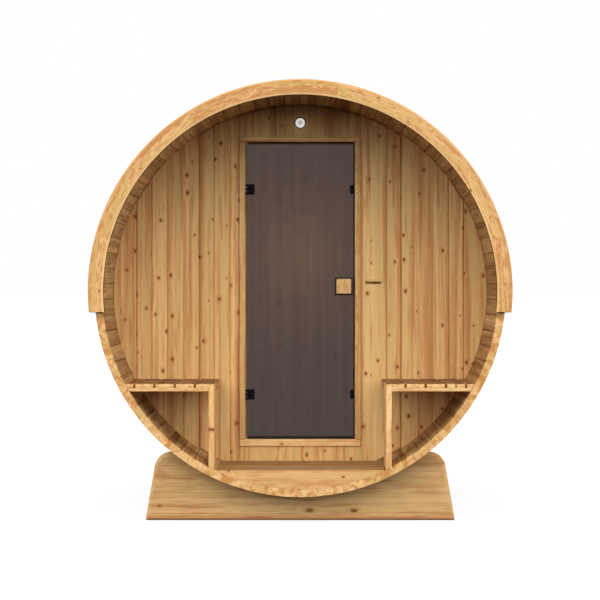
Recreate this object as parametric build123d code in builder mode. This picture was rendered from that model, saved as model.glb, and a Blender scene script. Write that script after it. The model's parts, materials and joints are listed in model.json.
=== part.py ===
from build123d import *

import os
from math import asin, cos, degrees, radians, sqrt, tan

# A barrel sauna: a timber barrel that lies along Y on two cradles, with its porch and door at -Y.
# The origin is the middle of its footprint, on the ground. +Z is up, and sizes are in millimetres.
# Heights called "above the axis" are measured from the barrel's own axis.

# ---------------------------------------------------------------- sizes

# Fits between pieces
curve_gap = 0.3  # between a round face and the piece it seats on
joint_gap = 0.5  # between like pieces that stand side by side or end to end

# Barrel
barrel_radius = 1120  # to the corners of the flat staves
barrel_length = 2400
stave_thickness = 42
ground_clearance = 145
segment_count = 13
staves_per_segment = 6

# Roof: the arched trim on each end, and the cover between the two
roof_drop = 114  # how far the roof comes down below the axis
arch_lap = 9  # how far the trim reaches inside the staves
arch_rise = 33  # how far the trim stands out past the staves
arch_thickness = 35
arch_board_count = 9
cover_thickness = 14
cover_course_count = 26

# End walls
porch_depth = 600
wall_thickness = 42
rear_recess = 60

# Floors
floor_rise = 102  # from the lowest point inside the barrel to the floor's top
deck_thickness = 28
fascia_thickness = 28
bearer_thickness = 45
cabin_bearer_count = 3

# Door frame
opening_width = 630
jamb_width = 35
head_height = 27
sill_height = 41
wall_over_frame = 188  # from the frame's top to the top of the barrel's inside
frame_above_floor = 83
frame_proud = 14  # on both faces of the wall

# Door leaf
glass_thickness = 8
glass_set_back = 14  # from the frame's front face
glass_side_gap = 7
glass_top_gap = 14
glass_bottom_gap = 16
stop_gap = 8  # behind the glass
stop_lap = 6  # how far the stops reach past the glass's edge
stop_thickness = 20

# Hinges
hinge_from_top = 275  # from the opening's top to the upper hinge's middle
hinge_from_bottom = 258
hinge_height = 60
knuckle_radius = 6
pin_radius = 3
pin_clearance = 0.05
pin_inset = 17  # from the jamb's inner face
pin_behind_frame = 3  # from the frame's front face
bracket_width = 10
bracket_depth = 10
bracket_proud = 2  # of the frame's front face
strap_width = 30
strap_thickness = 5
strap_from_pin = 6
strap_web = 6  # how far the knuckle's web reaches over the strap

# Knobs and catches
knob_size = 85
knob_thickness = 26
knob_edge_radius = 4
neck_radius = 15
neck_length = 12
knob_from_edge = 57  # from the glass's free edge to the knob's middle
knob_above_axis = 29
catch_width = 20
catch_height = 50
catch_thickness = 5

# Lamp and vent on the front wall
lamp_radius = 29
lamp_depth = 24
lamp_edge_radius = 8
lamp_over_frame = 81
vent_width = 88
vent_height = 13
vent_from_frame = 27
vent_above_axis = 43
vent_lip_height = 14
vent_lip_depth = 18
vent_plate_height = 50
vent_plate_thickness = 5

# Porch benches
bench_height = 471  # above the porch floor
slat_width = 97
slat_gap = 13
slat_thickness = 22
slat_least_width = 20
rail_height = 18
rail_depth = 45
leg_thickness = 30
leg_depth = 300
leg_from_floor_edge = 11

# Cradles
cradle_height = 377
cradle_thickness = 80
cradle_set_back = 150
cradle_shoulder = 108  # flat top beside the barrel
cradle_slope = 9.7  # degrees that each side leans in
cradle_corner_radius = 90
cradle_edge_radius = 25

# Tension bands
band_width = 25
band_thickness = 1.5
band_inset = 320  # from the barrel's ends to the outer bands' middles

# ---------------------------------------------------------------- places worked out from them

axis_height = ground_clearance + barrel_radius
stave_pitch = 360 / (segment_count * staves_per_segment)  # in degrees
outer_flat = barrel_radius * cos(radians(stave_pitch / 2))  # from the axis to a stave's outer face
inside_radius = outer_flat - stave_thickness
lining_radius = inside_radius - curve_gap  # outline of what fits inside the barrel

barrel_front = -barrel_length / 2
barrel_rear = barrel_length / 2
front_wall_face = barrel_front + porch_depth
front_wall_back = front_wall_face + wall_thickness
rear_wall_face = barrel_rear - rear_recess
rear_wall_inside = rear_wall_face - wall_thickness

floor_top = -inside_radius + floor_rise
floor_half_width = sqrt(inside_radius**2 - floor_top**2)

opening_half = opening_width / 2
frame_half = opening_half + jamb_width
frame_top = inside_radius - wall_over_frame
frame_bottom = floor_top + frame_above_floor
opening_top = frame_top - head_height
opening_bottom = frame_bottom + sill_height
frame_front = front_wall_face - frame_proud
frame_back = front_wall_back + frame_proud

glass_half = opening_half - glass_side_gap
glass_top = opening_top - glass_top_gap
glass_bottom = opening_bottom + glass_bottom_gap
glass_front = frame_front + glass_set_back
glass_back = glass_front + glass_thickness

pin_x = -opening_half + pin_inset
pin_y = frame_front + pin_behind_frame
hinge_heights = (opening_top - hinge_from_top, opening_bottom + hinge_from_bottom)

bench_top = floor_top + bench_height
leg_inside = floor_half_width + leg_from_floor_edge

os.makedirs("parts", exist_ok=True)


def save(piece, name):
    """Label a finished piece and write it as its own STEP file."""
    piece.part.label = name
    export_step(piece.part, f"parts/{name}.step")


def section_at(y):
    """The plane across the barrel at y: it faces the porch, and its origin is on the barrel's axis."""
    return Plane(origin=(0, y, axis_height), x_dir=(1, 0, 0), z_dir=(0, -1, 0))


def ring_sector(inner_radius, outer_radius, start_angle, sweep):
    """A flat piece of a ring about the axis. Angles are in degrees from +X, towards +Z."""
    with BuildSketch() as sector:
        with BuildLine():
            outer = CenterArc((0, 0), outer_radius, start_angle, sweep)
            inner = CenterArc((0, 0), inner_radius, start_angle, sweep)
            Line(outer @ 0, inner @ 0)
            Line(outer @ 1, inner @ 1)
        make_face()
    return sector.sketch


def flat_boards(inner_face, outer_face, start_angle, pitch, count):
    """Flat boards side by side round the axis, with a joint between them on each radius.

    The faces are given by their distance from the axis, and angles as in ring_sector.
    """
    slope = tan(radians(pitch / 2))
    inner_half = inner_face * slope - joint_gap / 2
    outer_half = outer_face * slope - joint_gap / 2
    corners = (
        (inner_face, -inner_half),
        (outer_face, -outer_half),
        (outer_face, outer_half),
        (inner_face, inner_half),
    )
    with BuildSketch() as boards:
        with PolarLocations(0, count, start_angle + pitch / 2, pitch * count):
            Polygon(*corners, align=None)
    return boards.sketch


def span(low_x, high_x, low_z, high_z, mode=Mode.ADD):
    """A rectangle in the current section, given by its sides."""
    with Locations(((low_x + high_x) / 2, (low_z + high_z) / 2)):
        Rectangle(high_x - low_x, high_z - low_z, mode=mode)


def block(low, high, mode=Mode.ADD):
    """A box in the current part between two corners, with Z above the axis."""
    middle = [(a + b) / 2 for a, b in zip(low, high)]
    with Locations((middle[0], middle[1], middle[2] + axis_height)):
        Box(*[b - a for a, b in zip(low, high)], mode=mode)


# ---------------------------------------------------------------- barrel

segment_sweep = stave_pitch * staves_per_segment
for index in range(segment_count):
    # The first segment is the one at the top, and the count runs clockwise as seen from the porch.
    start_angle = 90 - segment_sweep * (index + 0.5)
    with BuildPart() as staves:
        with BuildSketch(section_at(barrel_rear)):
            add(flat_boards(inside_radius, outer_flat, start_angle, stave_pitch, staves_per_segment))
        extrude(amount=barrel_length)
    save(staves, f"barrel_staves_{index + 1:02d}")

band_radius = barrel_radius + curve_gap
band_start = degrees(asin((roof_drop + joint_gap) / band_radius))
with BuildPart() as tension_bands:
    for middle in (barrel_front + band_inset, 0, barrel_rear - band_inset):
        with BuildSketch(section_at(middle + band_width / 2)):
            add(
                ring_sector(
                    band_radius,
                    band_radius + band_thickness,
                    180 + band_start,
                    180 - 2 * band_start,
                )
            )
        extrude(amount=band_width)
save(tension_bands, "tension_bands")

# ---------------------------------------------------------------- roof


arch_inner_radius = inside_radius - arch_lap
arch_outer_radius = barrel_radius + arch_rise
arch_overhang = degrees(asin(roof_drop / arch_inner_radius))
arch_sweep = (180 + 2 * arch_overhang) / arch_board_count
arch_gap_angle = degrees(joint_gap / arch_outer_radius)


def arch_outline():
    """The arch's boards end to end over the barrel's top, cut off level below the axis."""
    with BuildSketch() as row:
        for index in range(arch_board_count):
            start_angle = -arch_overhang + index * arch_sweep + arch_gap_angle / 2
            sweep = arch_sweep - arch_gap_angle
            add(ring_sector(arch_inner_radius, arch_outer_radius, start_angle, sweep))
        span(-arch_outer_radius, arch_outer_radius, -roof_drop, arch_outer_radius, mode=Mode.INTERSECT)
    return row.sketch


with BuildPart() as front_arch:
    with BuildSketch(section_at(barrel_front)):
        add(arch_outline())
    extrude(amount=arch_thickness)
save(front_arch, "front_arch")

with BuildPart() as rear_arch:
    with BuildSketch(section_at(barrel_rear + arch_thickness)):
        add(arch_outline())
    extrude(amount=arch_thickness)
save(rear_arch, "rear_arch")

# The cover is laid in flat courses along the barrel, and its lowest ones are cut off level too.
cover_inner_face = barrel_radius + curve_gap
cover_outer_face = cover_inner_face + cover_thickness
cover_overhang = degrees(asin(roof_drop / cover_inner_face))
cover_pitch = (180 + 2 * cover_overhang) / cover_course_count
with BuildPart() as roof_cover:
    with BuildSketch(section_at(barrel_rear)):
        add(
            flat_boards(
                cover_inner_face, cover_outer_face, -cover_overhang, cover_pitch, cover_course_count
            )
        )
        span(-arch_outer_radius, arch_outer_radius, -roof_drop, arch_outer_radius, mode=Mode.INTERSECT)
    extrude(amount=barrel_length)
save(roof_cover, "roof_cover")

# ---------------------------------------------------------------- end walls

vent_left = frame_half + vent_from_frame
vent_right = vent_left + vent_width
vent_top = vent_above_axis + vent_height

with BuildPart() as front_wall_left:
    with BuildSketch(section_at(front_wall_back)):
        Circle(lining_radius)
        span(-inside_radius, -frame_half, -inside_radius, inside_radius, mode=Mode.INTERSECT)
    extrude(amount=wall_thickness)
save(front_wall_left, "front_wall_left")

with BuildPart() as front_wall_right:
    with BuildSketch(section_at(front_wall_back)):
        Circle(lining_radius)
        span(frame_half, inside_radius, -inside_radius, inside_radius, mode=Mode.INTERSECT)
        span(vent_left, vent_right, vent_above_axis, vent_top, mode=Mode.SUBTRACT)
    extrude(amount=wall_thickness)
save(front_wall_right, "front_wall_right")

with BuildPart() as front_wall_over_door:
    with BuildSketch(section_at(front_wall_back)):
        Circle(lining_radius)
        span(-frame_half, frame_half, frame_top, inside_radius, mode=Mode.INTERSECT)
    extrude(amount=wall_thickness)
save(front_wall_over_door, "front_wall_over_door")

with BuildPart() as front_wall_under_door:
    with BuildSketch(section_at(front_wall_back)):
        Circle(lining_radius)
        span(-frame_half, frame_half, -inside_radius, frame_bottom, mode=Mode.INTERSECT)
    extrude(amount=wall_thickness)
save(front_wall_under_door, "front_wall_under_door")

with BuildPart() as rear_wall:
    with BuildSketch(section_at(rear_wall_face)):
        Circle(lining_radius)
    extrude(amount=wall_thickness)
save(rear_wall, "rear_wall")

# A thin plate above the slot, with a lip along its lower edge that keeps rain out.
with BuildPart() as air_vent:
    block(
        (vent_left, front_wall_face - vent_plate_thickness, vent_top),
        (vent_right, front_wall_face, vent_top + vent_plate_height),
    )
    block(
        (vent_left, front_wall_face - vent_lip_depth, vent_top),
        (vent_right, front_wall_face, vent_top + vent_lip_height),
    )
save(air_vent, "air_vent")

with BuildPart() as porch_lamp:
    with BuildSketch(section_at(front_wall_face)):
        with Locations((0, frame_top + lamp_over_frame)):
            Circle(lamp_radius)
    extrude(amount=lamp_depth)
    fillet(porch_lamp.faces().sort_by(Axis.Y)[0].edges(), lamp_edge_radius)
save(porch_lamp, "porch_lamp")

# ---------------------------------------------------------------- floors

deck_bottom = floor_top - deck_thickness


def inside_slice(low_z, high_z):
    """What lies inside the barrel between two heights above the axis."""
    with BuildSketch() as slice_of_barrel:
        Circle(lining_radius)
        span(-inside_radius, inside_radius, low_z, high_z, mode=Mode.INTERSECT)
    return slice_of_barrel.sketch


with BuildPart() as porch_fascia:
    with BuildSketch(section_at(barrel_front + fascia_thickness)):
        add(inside_slice(-inside_radius, floor_top))
    extrude(amount=fascia_thickness)
save(porch_fascia, "porch_fascia")

with BuildPart() as porch_deck:
    with BuildSketch(section_at(front_wall_face)):
        add(inside_slice(deck_bottom, floor_top))
    extrude(amount=porch_depth - fascia_thickness)
save(porch_deck, "porch_deck")

cabin_length = rear_wall_inside - front_wall_back
with BuildPart() as cabin_deck:
    with BuildSketch(section_at(rear_wall_inside)):
        add(inside_slice(deck_bottom, floor_top))
    extrude(amount=cabin_length)
save(cabin_deck, "cabin_deck")

# One bearer carries the porch deck at the wall, where the fascia carries its front edge. The
# others stand evenly along the cabin.
bearer_pitch = (cabin_length - bearer_thickness) / (cabin_bearer_count - 1)
bearer_backs = [front_wall_face]
for index in range(cabin_bearer_count):
    bearer_backs.append(front_wall_back + bearer_thickness + index * bearer_pitch)

with BuildPart() as floor_bearers:
    for back in bearer_backs:
        with BuildSketch(section_at(back)):
            add(inside_slice(-inside_radius, deck_bottom))
        extrude(amount=bearer_thickness)
save(floor_bearers, "floor_bearers")

# ---------------------------------------------------------------- door frame

# The head and the sill run the frame's whole width, and the jambs stand between them.
with BuildPart() as door_jambs:
    for low_x, high_x in ((-frame_half, -opening_half), (opening_half, frame_half)):
        block((low_x, frame_front, opening_bottom), (high_x, frame_back, opening_top))
save(door_jambs, "door_jambs")

with BuildPart() as door_head:
    block((-frame_half, frame_front, opening_top), (frame_half, frame_back, frame_top))
save(door_head, "door_head")

with BuildPart() as door_sill:
    block((-frame_half, frame_front, frame_bottom), (frame_half, frame_back, opening_bottom))
save(door_sill, "door_sill")

# The stops are the strips behind the glass that close the gap around it.
stop_front = glass_back + stop_gap
stop_back = stop_front + stop_thickness
stop_inner_half = glass_half - stop_lap
stop_inner_top = glass_top - stop_lap
stop_inner_bottom = glass_bottom + stop_lap
with BuildPart() as door_stops:
    for low_x, high_x in ((-opening_half, -stop_inner_half), (stop_inner_half, opening_half)):
        block((low_x, stop_front, opening_bottom), (high_x, stop_back, opening_top))
    short_half = stop_inner_half - joint_gap
    for low_z, high_z in ((opening_bottom, stop_inner_bottom), (stop_inner_top, opening_top)):
        block((-short_half, stop_front, low_z), (short_half, stop_back, high_z))
save(door_stops, "door_stops")

# ---------------------------------------------------------------- hinges

knuckle_height = hinge_height / 3


def upright(radius, height, middle_z, mode=Mode.ADD):
    """A cylinder on the hinge's pin line, centred at a height above the axis."""
    with Locations((pin_x, pin_y, axis_height + middle_z)):
        Cylinder(radius, height, mode=mode)


# Each bracket is fixed to the jamb, and carries the pin and the outer two knuckles.
bracket_front = frame_front - bracket_proud
with BuildPart() as hinge_brackets:
    for hinge_z in hinge_heights:
        block(
            (-opening_half, bracket_front, hinge_z - hinge_height / 2),
            (-opening_half + bracket_width, bracket_front + bracket_depth, hinge_z + hinge_height / 2),
        )
        for side in (-1, 1):
            knuckle_z = hinge_z + side * knuckle_height
            upright(knuckle_radius, knuckle_height, knuckle_z)
            block(
                (-opening_half, pin_y - pin_radius, knuckle_z - knuckle_height / 2),
                (pin_x, pin_y + pin_radius, knuckle_z + knuckle_height / 2),
            )
        upright(pin_radius, hinge_height, hinge_z)
save(hinge_brackets, "hinge_brackets")

# Each strap is a plate on the glass with the middle knuckle, and a plate behind the glass.
strap_left = pin_x + strap_from_pin
strap_height = knuckle_height - 2 * joint_gap
with BuildPart() as hinge_straps:
    for hinge_z in hinge_heights:
        low_z, high_z = hinge_z - hinge_height / 2, hinge_z + hinge_height / 2
        block(
            (strap_left, glass_front - strap_thickness, low_z),
            (strap_left + strap_width, glass_front, high_z),
        )
        block(
            (strap_left, glass_back, low_z),
            (strap_left + strap_width, glass_back + strap_thickness, high_z),
        )
        upright(knuckle_radius, strap_height, hinge_z)
        block(
            (pin_x, pin_y, hinge_z - strap_height / 2),
            (strap_left + strap_web, glass_front, hinge_z + strap_height / 2),
        )
        upright(pin_radius + pin_clearance, hinge_height, hinge_z, mode=Mode.SUBTRACT)
save(hinge_straps, "hinge_straps")

# ---------------------------------------------------------------- door leaf

with BuildPart() as door_glass:
    block((-glass_half, glass_front, glass_bottom), (glass_half, glass_back, glass_top))
save(door_glass, "door_glass")

knob_x = glass_half - knob_from_edge


def knob(glass_face, outwards):
    """A square wooden knob on a round neck, standing off one face of the glass."""
    with BuildPart() as wooden_knob:
        with BuildSketch(section_at(glass_face)):
            with Locations((knob_x, knob_above_axis)):
                Circle(neck_radius)
        extrude(amount=outwards * neck_length)
        with BuildSketch(section_at(glass_face - outwards * neck_length)):
            with Locations((knob_x, knob_above_axis)):
                RectangleRounded(knob_size, knob_size, knob_edge_radius)
        extrude(amount=outwards * knob_thickness)
    return wooden_knob


save(knob(glass_front, 1), "knob_outside")
save(knob(glass_back, -1), "knob_inside")

with BuildPart() as door_catches:
    for catch_z in hinge_heights:
        block(
            (glass_half - catch_width, glass_front - catch_thickness, catch_z - catch_height / 2),
            (glass_half, glass_front, catch_z + catch_height / 2),
        )
save(door_catches, "door_catches")

# ---------------------------------------------------------------- porch benches

slat_bottom = bench_top - slat_thickness
rail_bottom = slat_bottom - rail_height
leg_outside = leg_inside + leg_thickness

for side, side_name in ((-1, "left"), (1, "right")):

    def bench_span(inner_x, outer_x, low_z, high_z, mode=Mode.ADD):
        """A rectangle on this side of the porch, given by distances from the middle."""
        span(min(side * inner_x, side * outer_x), max(side * inner_x, side * outer_x), low_z, high_z, mode)

    with BuildPart() as slats:
        inner_x = leg_inside
        outer_limit = sqrt(lining_radius**2 - slat_bottom**2)
        with BuildSketch(section_at(front_wall_face)):
            while inner_x + slat_least_width < outer_limit:
                bench_span(inner_x, inner_x + slat_width, slat_bottom, bench_top)
                inner_x += slat_width + slat_gap
            Circle(lining_radius, mode=Mode.INTERSECT)
        extrude(amount=porch_depth)
        # The inner slat is notched for the leg, which comes up flush with the bench's top.
        with BuildSketch(section_at(barrel_front + leg_depth)):
            bench_span(leg_inside, leg_outside, slat_bottom, bench_top)
        extrude(amount=leg_depth, mode=Mode.SUBTRACT)
    save(slats, f"{side_name}_bench_slats")

    with BuildPart() as rails:
        with BuildSketch(section_at(barrel_front + rail_depth)):
            bench_span(leg_outside, inside_radius, rail_bottom, slat_bottom)
            Circle(lining_radius, mode=Mode.INTERSECT)
        extrude(amount=rail_depth)
        with BuildSketch(section_at(front_wall_face)):
            bench_span(leg_inside, inside_radius, rail_bottom, slat_bottom)
            Circle(lining_radius, mode=Mode.INTERSECT)
        extrude(amount=rail_depth)
    save(rails, f"{side_name}_bench_rails")

    with BuildPart() as leg:
        with BuildSketch(section_at(barrel_front + leg_depth)):
            bench_span(leg_inside, leg_outside, -inside_radius, bench_top)
            Circle(lining_radius, mode=Mode.INTERSECT)
        extrude(amount=leg_depth)
    save(leg, f"{side_name}_bench_leg")

# ---------------------------------------------------------------- cradles

saddle_radius = barrel_radius + curve_gap
shoulder_z = cradle_height - axis_height
shoulder_half = sqrt(saddle_radius**2 - shoulder_z**2) + cradle_shoulder
foot_half = shoulder_half + cradle_height * tan(radians(cradle_slope))

for front_y, cradle_name in (
    (barrel_front + cradle_set_back, "front_cradle"),
    (barrel_rear - cradle_set_back - cradle_thickness, "rear_cradle"),
):
    with BuildPart() as cradle:
        with BuildSketch(section_at(front_y + cradle_thickness)) as outline:
            with BuildLine():
                Polyline(
                    (-foot_half, -axis_height),
                    (foot_half, -axis_height),
                    (shoulder_half, shoulder_z),
                    (-shoulder_half, shoulder_z),
                    close=True,
                )
            make_face()
            fillet(outline.vertices().group_by(Axis.Y)[-1], cradle_corner_radius)
            Circle(saddle_radius, mode=Mode.SUBTRACT)
        extrude(amount=cradle_thickness)
        # Every edge of the two faces is rounded over, but the saddle's stay sharp under the barrel.
        rims = cradle.faces().filter_by(Axis.Y).edges()
        saddle_rims = rims.filter_by(GeomType.CIRCLE).sort_by(SortBy.RADIUS)[-2:]
        fillet([rim for rim in rims if rim not in saddle_rims], cradle_edge_radius)
    save(cradle, cradle_name)
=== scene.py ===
"""A barrel sauna with an open porch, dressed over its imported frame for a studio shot.

Everything is in metres in the frame's axes: +Z is up, the porch looks towards -Y, and the barrel
lies along Y. Timber is built board by board, and each board knows how it was sawn from its tree.
"""

import json
import logging
import math
import random
from bisect import bisect
from collections.abc import Callable, Iterable, Sequence
from dataclasses import dataclass, replace
from enum import Enum
from functools import partial

import bmesh
import bpy
from bmesh.types import BMEdge, BMesh, BMFace, BMVert
from mathutils import Matrix, Vector


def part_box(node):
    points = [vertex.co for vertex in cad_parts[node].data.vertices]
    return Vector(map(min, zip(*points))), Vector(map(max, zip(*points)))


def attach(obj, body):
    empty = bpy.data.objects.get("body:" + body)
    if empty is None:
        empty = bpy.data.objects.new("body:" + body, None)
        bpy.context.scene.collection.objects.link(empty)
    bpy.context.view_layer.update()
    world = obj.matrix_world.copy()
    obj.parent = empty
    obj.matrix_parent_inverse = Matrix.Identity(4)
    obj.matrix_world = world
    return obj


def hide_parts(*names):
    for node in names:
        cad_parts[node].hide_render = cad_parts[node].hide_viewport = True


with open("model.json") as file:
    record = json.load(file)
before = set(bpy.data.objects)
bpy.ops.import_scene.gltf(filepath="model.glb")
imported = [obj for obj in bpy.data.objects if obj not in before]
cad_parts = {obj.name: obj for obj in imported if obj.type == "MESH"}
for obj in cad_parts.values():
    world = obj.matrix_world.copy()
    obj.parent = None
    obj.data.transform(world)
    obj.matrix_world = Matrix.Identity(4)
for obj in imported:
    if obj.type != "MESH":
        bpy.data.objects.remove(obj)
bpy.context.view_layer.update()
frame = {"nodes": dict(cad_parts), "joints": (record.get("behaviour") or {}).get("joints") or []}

log = logging.getLogger("sauna")

ALONG_X, ALONG_Y, ALONG_Z = Vector((1, 0, 0)), Vector((0, 1, 0)), Vector((0, 0, 1))
NEAR = 1e-6  # places closer than this are the same
SHARP = math.radians(25)  # edges that turn by more than this are planed
PARALLEL = 0.999  # the least cosine between directions that are the same
TOWARDS = 0.5  # and between a face's normal and the way that it looks


# ---- finishes

# The Mix node's colour sockets, and the setting of a soft step
FACTOR, COLOUR_A, COLOUR_B, COLOUR_OUT = 0, 6, 7, 2
SOFT = {"interpolation_type": "SMOOTHSTEP"}


def linear(colour: str) -> tuple[float, float, float, float]:
    """Turns an sRGB hex colour into the linear one that shaders take.

    Args:
        colour: six hex digits, such as "E8B77A".

    Returns:
        Linear red, green and blue, and an alpha of 1.
    """
    parts = [int(colour[index : index + 2], 16) / 255 for index in (0, 2, 4)]
    red, green, blue = (c / 12.92 if c <= 0.04045 else ((c + 0.055) / 1.055) ** 2.4 for c in parts)
    return red, green, blue, 1.0


def add_node(
    tree: bpy.types.NodeTree, kind: str, inputs: dict | tuple = (), **settings
) -> bpy.types.Node:
    """Adds a node with its settings and links.

    Args:
        tree: the node tree it goes into.
        kind: the node's type, without the "ShaderNode" before it.
        inputs: what the sockets get, in their order, or by name or number: a value, a node's
            output, or a node for its first output.
        settings: the node's own properties.

    Returns:
        The new node.
    """
    node = tree.nodes.new("ShaderNode" + kind)
    for name, value in settings.items():
        setattr(node, name, value)
    for socket, value in inputs.items() if isinstance(inputs, dict) else enumerate(inputs):
        source = value.outputs[0] if isinstance(value, bpy.types.Node) else value
        if isinstance(source, bpy.types.NodeSocket):
            tree.links.new(source, node.inputs[socket])
        else:
            node.inputs[socket].default_value = source
    return node


@dataclass(frozen=True)
class Coat:
    """What every finish has: a name, and a shader of its own kind."""

    name: str

    def surface(self, node: partial) -> bpy.types.Node:
        """Wires the shader: each kind of finish has its own way."""
        raise NotImplementedError

    def material(self) -> bpy.types.Material:
        """Builds the finish.

        Returns:
            The node material.
        """
        made = bpy.data.materials.new(self.name)
        made.use_nodes = True
        made.node_tree.nodes.clear()
        node = partial(add_node, made.node_tree)
        node("OutputMaterial", (self.surface(node),))
        return made


@dataclass(frozen=True)
class KnottySoftwood(Coat):
    """Pine or spruce boards, planed and oiled: soft sheen, streaked fibre, small dark knots.

    The pattern is solid, so it runs on over a board's edges and shows rings on its ends. It reads
    the "grain" attribute, in metres along the fibre, across it and in depth from the tree's heart,
    and the "tone" attribute, one number for each board.
    """

    pale: str
    deep: str
    flame: str  # reddish streaks and the wood round a knot
    sap: str  # yellower sapwood
    knot: str = "6A4020"
    knot_spacing: float = 0.15
    knot_share: float = 0.55
    knot_radius: tuple[float, float] = (0.006, 0.013)
    knot_stretch: float = 1.3  # how much longer than wide
    knot_rim: tuple[float, float] = (0.6, 1.4)  # how uneven it is, as shares of the radius
    rim_bumps: float = 160.0  # in a metre
    wander: float = 0.016  # how far the fibre strays sideways
    wander_turns: tuple[float, ...] = (1.7, 7.0, 7.0)  # in a metre along the fibre and across
    taper: float = 0.005  # of the trunk's radius, for each metre up it
    latewood: tuple[float, float] = (0.35, 0.95)  # where in a ring it begins and is darkest
    ring_spacing: float = 0.011  # real rings are 2 to 4 mm: drawn coarser, to show at all
    band_width: float = 0.024  # runs of like rings
    board_contrast: float = 0.9
    band_contrast: float = 0.8
    streak_contrast: float = 1.0
    ring_strength: float = 0.16
    flame_strength: float = 0.75
    flame_length: float = 0.3
    streak_width: float = 0.03
    line_strength: float = 0.35  # thin lines a few millimetres wide
    figure_contrast: float = 0.15  # cloudy patches as the cut runs in and out of the rings
    figure_length: float = 0.05
    hair_strength: float = 0.08
    darkest: float = 1.0  # past 1, wood darker than "deep"
    palest: float = 0.0  # under 0, wood paler than "pale"
    painted_crown_shade: float = 0.0  # painted shade: how far the wood is greyed and darkened at the top, under the ridge
    crown_shade_tint: str = "A0B8D2"
    crown_shade_heights: tuple[float, float] = (2.245, 2.325)  # where the painted shade begins and is full
    roughness: float = 0.62
    roughness_swing: float = 0.08
    gloss: float = 0.12  # an oiled, open-pored surface: well under varnish's 0.5

    def surface(self, node: partial) -> bpy.types.Node:
        """Wires the shader.

        Args:
            node: adds a node to the material.

        Returns:
            The shader's node.
        """
        grain = node("Attribute", attribute_name="grain").outputs["Vector"]
        tone = node("Attribute", attribute_name="tone").outputs["Fac"]

        # The fibre wanders a few millimetres sideways every half metre.
        slow = node("VectorMath", (grain, self.wander_turns), operation="MULTIPLY")
        wander = node("TexNoise", {"Vector": slow, "Scale": 1.0, "Detail": 1.0}).outputs["Color"]
        swing, centre = ((0.0, across, across) for across in (self.wander, -self.wander / 2))
        sideways = node("VectorMath", (wander, swing, centre), operation="MULTIPLY_ADD")
        wandering = node("VectorMath", (grain, sideways), operation="ADD")

        # Knots, one at most in each cell, and the fibre bends round them.
        squeeze = (1 / self.knot_stretch, 1.0, 0.0)
        squeezed = node("VectorMath", (grain, squeeze), operation="MULTIPLY")
        spread = {"Vector": squeezed, "Scale": 1 / self.knot_spacing, "Randomness": 1.0}
        cells = node("TexVoronoi", spread, voronoi_dimensions="2D")
        away = node("VectorMath", (squeezed, cells.outputs["Position"]), operation="SUBTRACT")
        distance = node("VectorMath", (away,), operation="LENGTH").outputs["Value"]
        ragged = node("TexNoise", {"Vector": grain, "Scale": self.rim_bumps, "Detail": 1.0})
        ragged = node("MapRange", (ragged, 0.0, 1.0, *self.knot_rim))
        distance = node("Math", (distance, ragged), operation="MULTIPLY")
        traits = node("SeparateColor", (cells.outputs["Color"],))
        there = node("Math", (traits, self.knot_share), operation="LESS_THAN")
        size = node("MapRange", (traits.outputs[1], 0.0, 1.0, *self.knot_radius))
        radius = node("Math", (size, there, 0.0001), operation="MULTIPLY_ADD")
        ratio = node("Math", (distance, radius), operation="DIVIDE")
        core, halo, pull = (
            node("MapRange", (ratio, near, far, most, 0.0), **SOFT)
            for near, far, most in ((0.5, 1.2, 1.0), (0.9, 2.4, 1.0), (1.0, 3.4, 0.8))
        )
        inwards = node("VectorMath", {0: away, "Scale": pull}, operation="SCALE")
        inwards = node("VectorMath", (inwards, (0.0, 1.0, 0.0)), operation="MULTIPLY")
        fibre = node("VectorMath", (wandering, inwards), operation="SUBTRACT")

        # Growth rings round the heart, in a trunk that tapers slightly.
        section = node("VectorMath", (fibre, (0.0, 1.0, 1.0)), operation="MULTIPLY")
        reach = node("VectorMath", (section,), operation="LENGTH").outputs["Value"]
        length = node("SeparateXYZ", (fibre,))
        reach = node("Math", (length, self.taper, reach), operation="MULTIPLY_ADD")
        rings = node("Math", (reach, self.ring_spacing), operation="DIVIDE")
        phase = node("Math", (rings,), operation="FRACT")
        late = node("MapRange", (phase, *self.latewood), **SOFT)
        run = node("Math", (reach, self.band_width), operation="DIVIDE")
        run = node("Math", (run,), operation="FLOOR")
        band = node("TexWhiteNoise", {"W": run}, noise_dimensions="1D")

        # Streaks, reddish flames, sapwood along a board, thin lines, cloudy figure and the finest
        # fibre: how often each changes in a metre along the fibre and across it, and its detail.
        wide = 1 / self.streak_width
        streak, flame, sap, line, figure, hair = (
            node("TexNoise", {"Vector": drawn, "Scale": 1.0, "Detail": detail, "Roughness": 0.55})
            for drawn, detail in (
                (node("VectorMath", (fibre, (along, across, across)), operation="MULTIPLY"), detail)
                for along, across, detail in (
                    (0.8, wide, 3.0),
                    (1 / self.flame_length, wide * 1.5, 1.0),
                    (0.5, wide * 0.6, 1.0),
                    (1.6, 150.0, 2.0),
                    (1 / self.figure_length, 2.4 / self.figure_length, 1.5),
                    (9.0, 420.0, 1.0),
                )
            )
        )

        # Each share swings half its contrast either way, round an even mix of pale and deep.
        share, banded = (
            node("Math", (source, contrast, even - contrast / 2), operation="MULTIPLY_ADD")
            for source, contrast, even in (
                (tone, self.board_contrast, 0.5),
                (band, self.band_contrast, 0.0),
            )
        )
        cloudy, streaky = (
            node("MapRange", (source, low, 1 - low, -contrast / 2, contrast / 2))
            for source, low, contrast in (
                (figure, 0.35, self.figure_contrast),
                (streak, 0.3, self.streak_contrast),
            )
        )
        for part in (banded, cloudy, streaky):
            share = node("Math", (share, part), operation="ADD")
        share = node("Clamp", (share, self.palest, self.darkest))

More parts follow.
